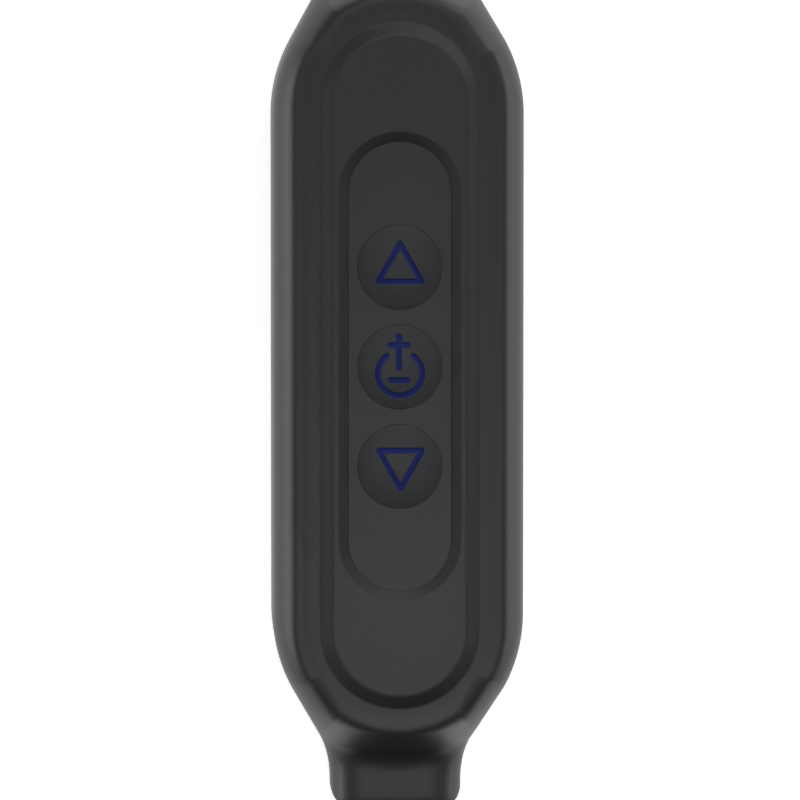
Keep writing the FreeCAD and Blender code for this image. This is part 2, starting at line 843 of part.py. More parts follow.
def make_port_cover():
    """Rubber flap with a shallow plug, flush with the pod's side."""
    body = new_body("port_cover", pod_place(1))
    flap = sketch_on(body, "YZ_Plane", "pod_half_width - cover_thickness")
    high = "cover_bottom + cover_height"
    rounded_rectangle(flap, "0", "cover_width / 2", "cover_bottom", high, "cover_corner")
    pad(body, flap, "cover_thickness")
    plug = sketch_on(body, "YZ_Plane", "pod_half_width - cover_thickness")
    rectangle(plug, "-cover_plug", "cover_plug_low", "cover_plug", "cover_plug_high")
    pad(body, plug, "cover_plug_depth", backwards=True)
    return body


def make_motor():
    body = new_body("vibration_motor", pod_place(1))
    disc = sketch_on(body, "XY_Plane", "case_floor")
    circle(disc, "motor_radius", "0", "motor_at")
    pad(body, disc, "motor_height")
    return body


def in_pod(side, across, along, level):
    return ("%d * arm_spacing / 2 + %s" % (side, across), "pod_at + " + along, level)


def make_boxed_parts():
    top = "board_bottom + board_height"
    module = block("radio_module", "module_width", "module_length", "module_height",
                   in_pod(1, "0", "module_at", top))
    under = "board_bottom - microphone_height"
    ear = block("microphone", "microphone_width", "microphone_length", "microphone_height",
                in_pod(1, "microphone_across", "microphone_at", under))
    foam = block("battery_foam", "cell_width", "cell_length", "foam_height",
                 in_pod(-1, "0", "cell_at", "case_floor"))
    cell = block("battery_cell", "cell_width", "cell_length", "cell_height",
                 in_pod(-1, "0", "cell_at", "case_floor + foam_height"))
    guard = block("protection_board", "guard_length", "guard_width", "guard_height",
                  in_pod(-1, "0", "guard_at", "case_floor"))
    return [module, ear, foam, cell, guard]


# Fittings that both pods have

def make_gland(side, name):
    """Bush for the ear cable: a flange inside the casing and a tube through its wall."""
    body = new_body(name, pod_place(side))
    inner_face = "(case_radius - case_wall - fit_gap)"
    flange = sketch_on(body, "YZ_Plane", "%d * %s" % (side, inner_face))
    circle(flange, "gland_flange", "gland_at", "gland_height")
    pad(body, flange, "gland_flange_height", backwards=side > 0)
    tube = sketch_on(body, "YZ_Plane", "%d * %s" % (side, inner_face))
    circle(tube, "gland_radius", "gland_at", "gland_height")
    pad(body, tube, "pod_half_width - " + inner_face, backwards=side < 0)
    bore = sketch_on(body, "YZ_Plane", "%d * pod_half_width" % side)
    circle(bore, "gland_bore", "gland_at", "gland_height")
    cut(body, bore, "pod_half_width", backwards=side > 0)
    return body


def make_dock_magnet(side, name):
    body = new_body(name, pod_place(side))
    disc = sketch_on(body, "XZ_Plane", "tail_reach - magnet_depth - magnet_height")
    circle(disc, "magnet_radius", "0", "band_height / 2")
    pad(body, disc, "magnet_height")
    return body


def make_wire_anchor(side, name):
    """Crimped block on the end of the memory wire."""
    body = new_body(name, pod_place(side))
    front = sketch_on(body, "XZ_Plane", "-(core_end + anchor_length)")
    low, high = "case_floor", "case_floor + anchor_height"
    if side > 0:
        rectangle(front, "anchor_across - anchor_width / 2", low, "anchor_across + anchor_width / 2", high)
    else:
        rectangle(front, "-anchor_across - anchor_width / 2", low, "anchor_width / 2 - anchor_across", high)
    pad(body, front, "anchor_length")
    bore = sketch_on(body, "XZ_Plane", "-(core_end + anchor_length)")
    circle(bore, "wire_radius", "%d * core_offset" % side, "band_height / 2")
    cut(body, bore, "anchor_length")
    return body


# Band

def arm_place(side):
    return ("%d * arm_spacing / 2" % side, "0", "0")


def make_arm_sleeve(side, name):
    body = new_body(name, arm_place(side))
    section = sketch_on(body, "XZ_Plane", "flex_length - nape_at")
    band_section(section)
    core_bores(section, side)
    pad(body, section, "nape_at - flex_length - pod_at - neck_reach")
    return body


def make_flex_sleeve(side, name):
    """Soft length of the band that bends: a tube round the wire and the harness."""
    body = new_body(name, arm_place(side))
    section = sketch_on(body, "XZ_Plane", "-nape_at")
    band_section(section)
    rounded_rectangle(section, "0", "flex_bore", "flex_bore_low", "flex_bore_high", "flex_bore_corner")
    pad(body, section, "flex_length")
    return body


def make_nape_sleeve():
    body = new_body("nape_sleeve", ("0", "nape_at", "0"))
    section = sketch_on(body, "XZ_Plane")
    band_section(section, "arm_spacing / 2")
    core_bores(section, 1, "arm_spacing / 2")
    revolve(body, section, 180.0)
    return body


def make_nape_core(name, radius, offset):
    """Wire or harness round the nape, with a straight run into each flexing length."""
    body = new_body(name, ("0", "nape_at", "0"))
    bend = "arm_spacing / 2 " + offset
    section = sketch_on(body, "XZ_Plane")
    circle(section, radius, bend, "band_height / 2")
    revolve(body, section, 180.0)
    for across in (bend, "-(" + bend + ")"):
        run = sketch_on(body, "XZ_Plane")
        circle(run, radius, across, "band_height / 2")
        pad(body, run, "flex_length / 2 - core_gap")
    return body


def make_arm_core(side, name, radius, offset):
    body = new_body(name, arm_place(side))
    section = sketch_on(body, "XZ_Plane", "flex_length / 2 + core_gap - nape_at")
    circle(section, radius, offset, "band_height / 2")
    pad(body, section, "nape_at - flex_length / 2 - core_gap - pod_at - core_end")
    return body


# Ear buds

def bud_place(side):
    return ("%d * arm_spacing / 2" % side, "pod_at - tail_reach - bud_gap", "bud_axis")


def disc_at(body, level, radius, length, across="0", along="0", backwards=False):
    sketch = sketch_on(body, "XZ_Plane", level)
    circle(sketch, radius, across, along)
    return pad(body, sketch, length, backwards)


def hollow_at(body, level, radius, length):
    sketch = sketch_on(body, "XZ_Plane", level)
    circle(sketch, radius)
    return cut(body, sketch, length)


def nozzle_sketch(body, distance, radius):
    """Circle square to the nozzle's axis, which leans up from the bud's own axis."""
    lean = math.radians(value("nozzle_tilt"))
    run = value(distance)
    sketch = sketch_on(body, "XZ_Plane")
    sketch.setExpression("AttachmentOffset.Base.z", None)
    middle = Vector(0, run * math.sin(lean), value("nozzle_at") + run * math.cos(lean))
    turn = FreeCAD.Rotation(Vector(-1, 0, 0), value("nozzle_tilt"))
    sketch.AttachmentOffset = FreeCAD.Placement(middle, turn)
    circle(sketch, radius)
    return sketch


def make_bud_cap(side, name):
    body = new_body(name, bud_place(side))
    disc_at(body, "0", "bud_radius", "cap_depth")
    round_edges(body, "cap_rounding", lambda edge: abs(middle_of(edge).y) < 0.01)
    hollow_at(body, "bud_wall", "bud_radius - bud_wall", "cap_depth - bud_wall")
    return body


def make_bud_housing(side, name):
    body = new_body(name, bud_place(side))
    shoulder = "cap_depth + shell_straight"
    disc_at(body, "cap_depth", "bud_radius", "shell_straight")
    foot = sketch_on(body, "XZ_Plane", shoulder)
    circle(foot, "bud_radius")
    front = sketch_on(body, "XZ_Plane", "shell_front")
    circle(front, "shell_mouth")
    doc.recompute()
    loft(body, "AdditiveLoft", foot, front)
    level = -value(shoulder)
    round_edges(body, "shell_straight / 1.2", lambda edge: abs(middle_of(edge).y - level) < 0.01)
    tube = nozzle_sketch(body, "0", "nozzle_radius")
    pad(body, tube, "nozzle_length")
    hollow_at(body, "cap_depth", "bud_radius - bud_wall", "shell_straight")
    wide = sketch_on(body, "XZ_Plane", shoulder)
    circle(wide, "bud_radius - bud_wall")
    narrow = sketch_on(body, "XZ_Plane", "shell_well_end")
    circle(narrow, "shell_well")
    doc.recompute()
    loft(body, "SubtractiveLoft", wide, narrow)
    bore = nozzle_sketch(body, "0", "nozzle_bore")
    cut(body, bore, "nozzle_length")
    cable = sketch_on(body, "YZ_Plane", "%d * bud_radius" % side)
    circle(cable, "gland_bore", "-cable_hole_at")
    cut(body, cable, "2 * bud_wall", backwards=side > 0)
    return body


def make_bud_parts(side, hand):
    driver = new_body("bud_driver_" + hand, bud_place(side))
    disc_at(driver, "driver_at", "driver_radius", "driver_height")
    cone = new_body("bud_diaphragm_" + hand, bud_place(side))
    disc_at(cone, "diaphragm_at", "diaphragm_radius", "diaphragm_height")
    magnet = new_body("bud_magnet_" + hand, bud_place(side))
    disc_at(magnet, "bud_wall", "bud_magnet_radius", "bud_magnet_height", "0", "-bud_magnet_drop")
    mesh = new_body("nozzle_mesh_" + hand, bud_place(side))
    disc = nozzle_sketch(mesh, "nozzle_length - 2 * mesh_height", "nozzle_bore")
    pad(mesh, disc, "mesh_height")
    return [driver, cone, magnet, mesh]


def make_ear_tip(side, name):
    """Soft tip: a cone on the nozzle, its bore seated past the nozzle's end."""
    body = new_body(name, bud_place(side))
    wide = nozzle_sketch(body, "tip_start", "tip_radius")
    narrow = nozzle_sketch(body, "tip_start + tip_length", "tip_mouth")
    doc.recompute()
    loft(body, "AdditiveLoft", wide, narrow)
    seat = nozzle_sketch(body, "tip_start", "nozzle_radius + fit_gap")
    cut(body, seat, "tip_seat")
    bore = nozzle_sketch(body, "tip_start", "nozzle_bore")
    cut(body, bore, "tip_length")
    return body


# The whole assembly

def make_pieces():
    pieces = [make_nape_sleeve()]
    pieces.append(make_nape_core("memory_wire_nape", "wire_radius", "+ core_offset"))
    pieces.append(make_nape_core("band_harness_nape", "harness_radius", "- core_offset"))
    for side, hand in ((1, "left"), (-1, "right")):
        control = hand == "left"
        outside, inside = "%d * core_offset" % side, "%d * core_offset" % -side
        pieces.append(make_flex_sleeve(side, "flex_sleeve_" + hand))
        pieces.append(make_arm_sleeve(side, "arm_sleeve_" + hand))
        pieces.append(make_arm_core(side, "memory_wire_" + hand, "wire_radius", outside))
        pieces.append(make_arm_core(side, "band_harness_" + hand, "harness_radius", inside))
        pieces.append(make_wire_anchor(side, "wire_anchor_" + hand))
        pieces.append(make_pod_skin(side, "pod_skin_" + hand, control))
        pieces.append(make_rear_shell(side, "rear_shell_" + hand, control))
        pieces.append(make_front_frame(side, "front_frame_" + hand, control))
        pieces.append(make_face_plate(side, "face_plate_" + hand, control))
        pieces.append(make_case_screws(side, "case_screws_" + hand))
        pieces.append(make_gland(side, "cable_gland_" + hand))
        pieces.append(make_dock_magnet(side, "dock_magnet_" + hand))
        pieces.append(make_bud_cap(side, "bud_cap_" + hand))
        pieces.append(make_bud_housing(side, "bud_housing_" + hand))
        pieces += make_bud_parts(side, hand)
        pieces.append(make_ear_tip(side, "ear_tip_" + hand))
    pieces.append(make_key_panel())
    for name, step in KEYS:
        pieces.append(make_key(name + "_button", step))
        pieces.append(make_plunger(name + "_plunger", step))
    pieces += [make_key_web(), make_switches(), make_board(), make_socket()]
    pieces += [make_port_cover(), make_motor()]
    pieces += make_boxed_parts()
    return pieces


pieces = make_pieces()
doc.recompute()

for item in doc.Objects:
    if "Invalid" in item.State or "Error" in item.State:
        raise RuntimeError(item.Label + " failed: " + str(item.State))
for piece in pieces:
    if piece.Shape.isNull() or not piece.Shape.isValid():
        raise RuntimeError(piece.Label + " has no valid shape")

os.makedirs("parts", exist_ok=True)
for piece in pieces:
    piece.Shape.exportStep("parts/%s.step" % piece.Label)
print(len(pieces), "pieces")
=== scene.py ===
import json
import math

import bmesh
import bpy
from mathutils import Matrix, Vector

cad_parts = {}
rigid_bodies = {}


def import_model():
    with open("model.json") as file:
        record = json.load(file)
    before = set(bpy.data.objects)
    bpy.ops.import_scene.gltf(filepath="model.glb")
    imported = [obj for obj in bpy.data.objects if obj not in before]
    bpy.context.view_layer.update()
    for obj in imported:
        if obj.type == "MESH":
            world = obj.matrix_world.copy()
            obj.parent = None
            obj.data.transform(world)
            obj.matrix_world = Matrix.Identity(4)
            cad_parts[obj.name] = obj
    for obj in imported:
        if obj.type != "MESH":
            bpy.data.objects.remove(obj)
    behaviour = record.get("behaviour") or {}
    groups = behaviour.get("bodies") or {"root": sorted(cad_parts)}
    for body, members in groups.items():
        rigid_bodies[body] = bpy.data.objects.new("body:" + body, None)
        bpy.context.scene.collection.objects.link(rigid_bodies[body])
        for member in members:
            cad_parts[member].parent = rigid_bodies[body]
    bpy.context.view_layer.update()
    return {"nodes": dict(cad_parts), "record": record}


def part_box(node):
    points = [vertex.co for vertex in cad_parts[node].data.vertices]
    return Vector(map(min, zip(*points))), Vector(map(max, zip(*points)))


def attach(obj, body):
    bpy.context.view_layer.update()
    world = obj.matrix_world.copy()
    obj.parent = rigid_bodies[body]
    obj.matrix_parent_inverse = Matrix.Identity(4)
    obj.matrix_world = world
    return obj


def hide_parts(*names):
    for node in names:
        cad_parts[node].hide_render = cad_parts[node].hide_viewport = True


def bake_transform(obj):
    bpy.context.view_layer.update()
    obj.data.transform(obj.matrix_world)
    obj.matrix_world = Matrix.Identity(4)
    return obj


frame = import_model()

# Nape of the band: a soft strip that goes round the back of the neck. It is silicone
# moulded over a sprung wire, flat on top and below, with well rounded sides and the
# dull, slightly dusty look of a silk-finished mould.

MM = 0.001
BAND_HALF = 4.75
BAND_HEIGHT = 5.0
TOP_ROUND = (2.45, 2.3)
UNDER_ROUND = (1.1, 1.1)
ROUND_STEPS = 12
NAPE_STEPS = 200
CLOUDS_PER_METRE = 220.0


def linear(code):
    """An sRGB hex colour as linear RGBA."""
    levels = [int(code[i:i + 2], 16) / 255 for i in (1, 3, 5)]
    flat = [c / 12.92 if c <= 0.04045 else ((c + 0.055) / 1.055) ** 2.4 for c in levels]
    return (*flat, 1.0)


def add(tree, kind, settings=None, **links):
    """Add a node, set its properties or sockets by name or number, and link its inputs."""
    made = tree.nodes.new("ShaderNode" + kind)
    for name, value in (settings or {}).items():
        if isinstance(name, int) or name in made.inputs:
            made.inputs[name].default_value = value
        else:
            setattr(made, name, value)
    for name, source in links.items():
        key = int(name[1:]) if name[1:].isdigit() else name.replace("_", " ")
        tree.links.new(source, made.inputs[key])
    return made


def new_material(name):
    material = bpy.data.materials.new(name)
    material.use_nodes = True
    material.node_tree.nodes.clear()
    return material, material.node_tree


def soft_moulding(name, colour, rough, grain, depth, ior=1.45, fleck=0.08):
    """Rubber or plastic from a textured mould: tone clouds 4.5 mm wide, and a grain in mm."""
    material, tree = new_material(name)
    place = add(tree, "TexCoord").outputs["Object"]
    cloud = add(tree, "TexNoise", {"Scale": CLOUDS_PER_METRE, "Detail": 4.0}, Vector=place)
    pits = add(tree, "TexNoise", {"Scale": 1 / (grain * MM), "Detail": 2.0}, Vector=place)
    tone = add(tree, "MapRange", {"To Min": 1 - fleck, "To Max": 1 + fleck}, Value=cloud.outputs["Fac"])
    shade = add(tree, "Mix", {"data_type": "RGBA", "blend_type": "MULTIPLY", 0: 1.0, 6: linear(colour)},
                _7=tone.outputs[0])
    dull = add(tree, "MapRange", {"To Min": rough - 0.05, "To Max": rough + 0.05},
               Value=pits.outputs["Fac"])
    bump = add(tree, "Bump", {"Strength": 0.35, "Distance": depth * MM}, Height=pits.outputs["Fac"])
    skin = add(tree, "BsdfPrincipled", {"IOR": ior}, Base_Color=shade.outputs[2],
               Roughness=dull.outputs[0], Normal=bump.outputs[0])
    add(tree, "OutputMaterial", Surface=skin.outputs[0])
    return material


# Silicone from a spark-eroded mould. Its grain, 0.02 mm in the mould, scatters light, so
# the band looks dull and never glints. The grain is drawn 0.09 mm wide so that it shows.
band_silicone = soft_moulding("Silk-finish silicone", "#2B2C2E", 0.48, 0.09, 0.006)


def set_in_place(form, name, material, body, nodes, at=(0, 0, 0), crease=32.0):
    """Make a piece from a form in mm: smooth but for its creases, on its CAD body."""
    bmesh.ops.translate(form, vec=at, verts=form.verts)
    bmesh.ops.scale(form, vec=(MM, MM, MM), verts=form.verts)
    bmesh.ops.recalc_face_normals(form, faces=form.faces)
    for face in form.faces:
        face.smooth = True
    for edge in form.edges:
        edge.smooth = len(edge.link_faces) == 2 and edge.calc_face_angle(0) < math.radians(crease)
    mesh = bpy.data.meshes.new(name)
    form.to_mesh(mesh)
    form.free()
    mesh.materials.append(material)
    piece = bpy.data.objects.new(name, mesh)
    bpy.context.scene.collection.objects.link(piece)
    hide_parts(*nodes)
    if body:
        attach(piece, body)
    return piece


def quarter(steps=ROUND_STEPS):
    """Sine and cosine pairs through a quarter turn."""
    turns = [math.pi / 2 * i / steps for i in range(steps + 1)]
    return [(math.sin(t), math.cos(t)) for t in turns]


def band_section():
    """Section of the band, as points across and up, anticlockwise."""
    top, under = TOP_ROUND, UNDER_ROUND
    right = [(BAND_HALF - under[0] + under[0] * s, under[1] - under[1] * c) for s, c in quarter()]
    right += [(BAND_HALF - top[0] + top[0] * c, BAND_HEIGHT - top[1] + top[1] * s) for s, c in quarter()]
    return right + [(-across, up) for across, up in reversed(right)]


def ring_of(form, points):
    """A closed ring of edges through some points."""
    verts = [form.verts.new(point) for point in points]
    return [form.edges.new(pair) for pair in zip(verts, verts[1:] + verts[:1])]


ARM_AT = 62.0
NAPE_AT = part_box("nape_sleeve")[0].y / MM

form = bmesh.new()
start = ring_of(form, [(ARM_AT + across, NAPE_AT, up) for across, up in band_section()])
bmesh.ops.edgeloop_fill(form, edges=start)
swept = bmesh.ops.spin(form, geom=start, cent=(0, NAPE_AT, 0), axis=(0, 0, 1), angle=math.pi,
                       steps=NAPE_STEPS)
bmesh.ops.edgeloop_fill(form, edges=[e for e in swept["geom_last"] if isinstance(e, bmesh.types.BMEdge)])
set_in_place(form, "band_nape", band_silicone, "band", ["nape_sleeve"])


# Arms of the band: the same silicone strip, straight from the nape to each pod.
# A fine seam shows where the pod's own skin begins.

POD_NECK_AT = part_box("arm_sleeve_left")[0].y / MM
SEAM = 0.14
ARM_STEPS = 66


def drawn_out(form, edges, moves):
    """Extrude a ring of edges again and again, each time by a move and a widening."""
    for move, wide in moves:
        made = bmesh.ops.extrude_edge_only(form, edges=edges)["geom"]
        edges = [part for part in made if isinstance(part, bmesh.types.BMEdge)]
        verts = [part for part in made if isinstance(part, bmesh.types.BMVert)]
        bmesh.ops.translate(form, vec=move, verts=verts)
        if wide:
            middle = sum((v.co for v in verts), Vector()) / len(verts)
            for vert in verts:
                vert.co.x += wide * (1 if vert.co.x > middle.x else -1)
                vert.co.z += wide * (1 if vert.co.z > middle.z else -1)
    return edges


for hand, arm_side in (("left", 1), ("right", -1)):
    form = bmesh.new()
    edges = ring_of(form, [(arm_side * ARM_AT + across, NAPE_AT, up) for across, up in band_section()])
    bmesh.ops.edgeloop_fill(form, edges=edges)
    length = NAPE_AT - POD_NECK_AT - SEAM
    moves = [((0, -length / ARM_STEPS, 0), 0)] * ARM_STEPS + [((0, -SEAM / 2, 0), -SEAM)]
    bmesh.ops.edgeloop_fill(form, edges=drawn_out(form, edges, moves))
    sleeve = set_in_place(form, "band_arm_" + hand, band_silicone, None,
                          ["flex_sleeve_" + hand, "arm_sleeve_" + hand])
    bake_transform(sleeve)


# Pod bodies: a silicone skin moulded over the hard casing. Seen from above the sides
# are straight and an S-bend narrows them to the band at each end. A flat shoulder runs
# round the face plate to a soft lip, and the ends drop steeply to the band's height.

TAIL_REACH = 32.5
NECK_REACH = 31.0
POD_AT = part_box("pod_skin_left")[0].y / MM + TAIL_REACH
SIDE_HALF = 9.0
POD_HEIGHT = 10.4
SIDE_REACH = 17.9
TAPER_REACH = 30.6
OUTER_BEND = 11.2
INNER_BEND = 8.1
TAIL_CORNER = 1.7
TAIL_ROUND = (0.85, 0.85)
SIDE_STEP, BEND_STEP, CORNER_STEP = 0.8, 0.3, 0.15
SAME_SPOT = 0.02
SPINE_REACH = 18.8
LIP = 7.15
SHOULDER_DISH = 0.06
DISH_SLOPE = 0.9
EDGE_TURN = math.radians(54)
LIP_BEND = 0.85
DROP_TURN = math.radians(68)
DROP_LIP = 0.8
DROP_FOOT = 1.6
END_TURN = math.radians(85)
UNDER_PLATE = 5.2
WELL_FLOOR = 9.0


def taper():
    """Centres of the two bends of the S, and the angle of the normal they share."""
    outer = Vector((SIDE_HALF - OUTER_BEND, SIDE_REACH))
    inner = Vector((BAND_HALF + INNER_BEND, TAPER_REACH))
    across = inner - outer
    lean = math.acos((OUTER_BEND + INNER_BEND) / across.length)
    return outer, inner, math.atan2(across.y, across.x) - lean


TAPER_OUTER, TAPER_INNER, TAPER_TURN = taper()


def bow(centre, radius, start, end, step):
    """Points along an arc, about a step apart."""
    count = max(2, round(abs(end - start) * radius / step))
    turns = [start + (end - start) * i / count for i in range(count + 1)]
    return [Vector((centre[0] + radius * math.cos(t), centre[1] + radius * math.sin(t))) for t in turns]


def run(start, end, step):
    """Points along a straight line, about a step apart."""
    start, end = Vector(start), Vector(end)
    count = max(1, round((end - start).length / step))
    return [start.lerp(end, i / count) for i in range(count + 1)]


def half_outline(reach, corner):
    """Outline from the middle of the side to the middle of one end."""
    points = run((SIDE_HALF, 0), (SIDE_HALF, SIDE_REACH), SIDE_STEP)
    points += bow(TAPER_OUTER, OUTER_BEND, 0, TAPER_TURN, BEND_STEP)
    points += bow(TAPER_INNER, INNER_BEND, math.pi + TAPER_TURN, math.pi, BEND_STEP)
    points += run((BAND_HALF, TAPER_REACH), (BAND_HALF, reach - corner), BEND_STEP)
    if corner:
        points += bow((BAND_HALF - corner, reach - corner), corner, 0, math.pi / 2, CORNER_STEP)
    points += run((BAND_HALF - corner, reach), (0, reach), BEND_STEP)
    kept = points[:1]
    for point in points[1:]:
        if (point - kept[-1]).length > SAME_SPOT:
            kept.append(point)
    return kept


def pod_outline():
    """The whole outline, anticlockwise from the middle of the right side."""
    neck = half_outline(NECK_REACH, 0)
    tail = half_outline(TAIL_REACH, TAIL_CORNER)
    left_neck = [Vector((-p.x, p.y)) for p in reversed(neck[:-1])]
    left_tail = [Vector((-p.x, -p.y)) for p in tail[1:]]
    right_tail = [Vector((p.x, -p.y)) for p in reversed(tail[1:-1])]
    return neck + left_neck + left_tail + right_tail


def side_depth(x, y):
    """Distance in from the pod's side outline."""
    spot = Vector((abs(x), abs(y)))
    if spot.y <= SIDE_REACH:
        return max(0.0, SIDE_HALF - spot.x)
    if spot.y >= TAPER_REACH:
        return max(0.0, BAND_HALF - spot.x)
    outward, inward = spot - TAPER_OUTER, TAPER_INNER - spot
    if math.atan2(outward.y, outward.x) < TAPER_TURN:
        return max(0.0, OUTER_BEND - outward.length)
    if math.atan2(inward.y, inward.x) < TAPER_TURN:
        return max(0.0, inward.length - INNER_BEND)
    normal = Vector((math.cos(TAPER_TURN), math.sin(TAPER_TURN)))
    return max(0.0, OUTER_BEND - outward.dot(normal))


def oval_drop(depth, width, height):
    """How far a rounded edge has dropped at a depth in from it."""
    share = 1 - min(depth, width) / width
    return height * (1 - math.sqrt(max(0.0, 1 - share * share)))


LIP_WIDTH = LIP_BEND * math.cos(EDGE_TURN)
LIP_HEIGHT = LIP_BEND * (1 - math.sin(EDGE_TURN))
EDGE_RUN = SIDE_HALF - LIP
EDGE_WIDTH = EDGE_RUN - LIP_WIDTH
EDGE_BEND = EDGE_WIDTH / (1 - math.cos(EDGE_TURN))


def edge_drop(depth):
    """Drop of the pod's long edge: a full bend up from the side wall, then a soft lip."""
    if depth >= EDGE_WIDTH:
        return LIP_BEND - math.sqrt(LIP_BEND ** 2 - max(0.0, EDGE_RUN - depth) ** 2)
    risen = math.sqrt(EDGE_BEND ** 2 - (EDGE_BEND - depth) ** 2)
    return LIP_HEIGHT + EDGE_BEND * math.sin(EDGE_TURN) - risen


def ridge_height(distance):
    """Height down the end of the pod: lip, steep drop, and a wide foot at band height."""
    past = distance - LIP
    lip_run = DROP_LIP * math.sin(DROP_TURN)
    foot_run = DROP_FOOT * math.sin(DROP_TURN)
    lip_fall = DROP_LIP * (1 - math.cos(DROP_TURN))
    foot_fall = DROP_FOOT * (1 - math.cos(DROP_TURN))
    slope_run = (POD_HEIGHT - BAND_HEIGHT - lip_fall - foot_fall) / math.tan(DROP_TURN)
    if past <= 0:
        return POD_HEIGHT
    if past < lip_run:
        return POD_HEIGHT - DROP_LIP + math.sqrt(DROP_LIP ** 2 - past ** 2)
    if past < lip_run + slope_run:
        return POD_HEIGHT - lip_fall - (past - lip_run) * math.tan(DROP_TURN)
    left = lip_run + slope_run + foot_run - past
    if left <= 0:
        return BAND_HEIGHT
    return BAND_HEIGHT + DROP_FOOT - math.sqrt(DROP_FOOT ** 2 - left ** 2)


def ease(t):
    """A share from 0 to 1 that starts and stops gently."""
    t = min(1.0, max(0.0, t))
    return t * t * (3 - 2 * t)


def pod_top(x, y):
    """Height of the pod's top: one lip all round, then the long edge or the end's drop."""
    beyond = max(0.0, abs(y) - SPINE_REACH)
    distance = math.hypot(x, beyond)
    depth = side_depth(x, y)
    past = max(0.0, distance - LIP)
    turn = math.atan2(beyond, abs(x)) if beyond else 0.0
    level = ridge_height(LIP + past * ease(turn / END_TURN))
    share = (level - BAND_HEIGHT) / (POD_HEIGHT - BAND_HEIGHT)
    scaled = depth * EDGE_RUN / (past + depth) if past else EDGE_RUN
    edge = oval_drop(depth, *TOP_ROUND) * (1 - share) + edge_drop(scaled) * share
    end = oval_drop(TAIL_REACH + y, *TAIL_ROUND) if y < 0 else 0.0
    dish = SHOULDER_DISH * ease((LIP - distance) / DISH_SLOPE)
    return level - edge - end - dish


def pod_under(x, y):
    """Height of the pod's underside: flat, with a small round along its sides and tail."""
    rise = oval_drop(side_depth(x, y), *UNDER_ROUND)
    return max(rise, oval_drop(TAIL_REACH + y, *UNDER_ROUND)) if y < 0 else rise


SHOULDER_ROWS = 40
EDGE_ROWS = 32
EDGE_REACH = 2.45
WALL_ROWS = 4
UNDER_ROWS = 7
UNDER_REACH = 2.2


def pod_rows():
    """Rows of points from the rim of the well, over the top and sides, to the underside."""
    outline = pod_outline()
    inner = []
    for point in outline:
        spine = Vector((0, max(-SPINE_REACH, min(SPINE_REACH, point.y))))
        inner.append(spine + (point - spine).normalized() * UNDER_PLATE)
    pairs = list(zip(outline, inner))
    rows = [[(low.x, low.y, WELL_FLOOR) for low in inner]]

    def row(depth_of, height):
        spots = [start.lerp(end, depth_of(start, end)) for start, end in pairs]
        rows.append([(s.x, s.y, height(s.x, s.y)) for s in spots])

    for k in range(SHOULDER_ROWS, 0, -1):
        share = k / SHOULDER_ROWS
        row(lambda a, b: share + (1 - share) * EDGE_REACH / (a - b).length, pod_top)
    for k in range(EDGE_ROWS, -1, -1):
        depth = EDGE_REACH * (1 - math.cos(math.pi / 2 * k / EDGE_ROWS))
        row(lambda a, b: depth / (a - b).length, pod_top)
    rim = [(a.x, a.y, pod_top(a.x, a.y), pod_under(a.x, a.y)) for a in outline]
    for k in range(1, WALL_ROWS):
        rows.append([(x, y, top + (low - top) * k / WALL_ROWS) for x, y, top, low in rim])
    for _, c in quarter(UNDER_ROWS):
        row(lambda a, b: UNDER_REACH * (1 - c) / (a - b).length, pod_under)
    return rows


def skin_over(form, rows):
    """Skin over rows of points, each row extruded from the last."""
    edges = ring_of(form, rows[0])
    bmesh.ops.edgeloop_fill(form, edges=edges)
    verts = [edge.verts[0] for edge in edges]
    for points in rows[1:]:
        made = bmesh.ops.extrude_edge_only(form, edges=edges)["geom"]
        fresh = {part for part in made if isinstance(part, bmesh.types.BMVert)}
        moved = []
        for vert, point in zip(verts, points):
            mate = next(e.other_vert(vert) for e in vert.link_edges if e.other_vert(vert) in fresh)
            mate.co = point
            moved.append(mate)
        verts = moved
        edges = [form.edges.get(pair) for pair in zip(verts, verts[1:] + verts[:1])]
    bmesh.ops.edgeloop_fill(form, edges=edges)


SLAB_CORNER_STEPS = 10
SLAB_EDGE_STEPS = 4


def block(form, low, high):
    """A box between two corners, added to a form."""
    made = bmesh.ops.create_cube(form, size=1)["verts"]
    size = Vector(high) - Vector(low)
    bmesh.ops.scale(form, vec=size, verts=made)
    bmesh.ops.translate(form, vec=(Vector(high) + Vector(low)) / 2, verts=made)
    return made


def rounded_slab(form, low, high, corner, edge=0.0):
    """A slab that lies against the pod's side, with round corners and a soft outer edge."""
    made = block(form, low, high)
    span = high[0] - low[0]
    along = {e for v in made for e in v.link_edges if abs(e.verts[0].co.x - e.verts[1].co.x) > span / 2}
    bmesh.ops.bevel(form, geom=list(along), offset=corner, segments=SLAB_CORNER_STEPS, profile=0.5,
                    affect="EDGES", material=-1, offset_type="OFFSET")
    if edge:
        outer = max((v.co.x for v in form.verts), key=abs)
        face = [e for e in form.edges if all(abs(v.co.x - outer) < 1e-4 for v in e.verts)]
        bmesh.ops.bevel(form, geom=face, offset=edge, segments=SLAB_EDGE_STEPS, profile=0.5,
                        affect="EDGES", material=-1, offset_type="OFFSET")


def rod_across(form, start, end, y, z, radius, steps=48):
    """A closed rod along X, added to a form."""
    turn = Matrix.Rotation(math.pi / 2, 4, "Y")
    middle = Matrix.Translation(((start + end) / 2, y, z))
    bmesh.ops.create_cone(form, cap_ends=True, segments=steps, radius1=radius, radius2=radius,
                          depth=abs(end - start), matrix=middle @ turn)


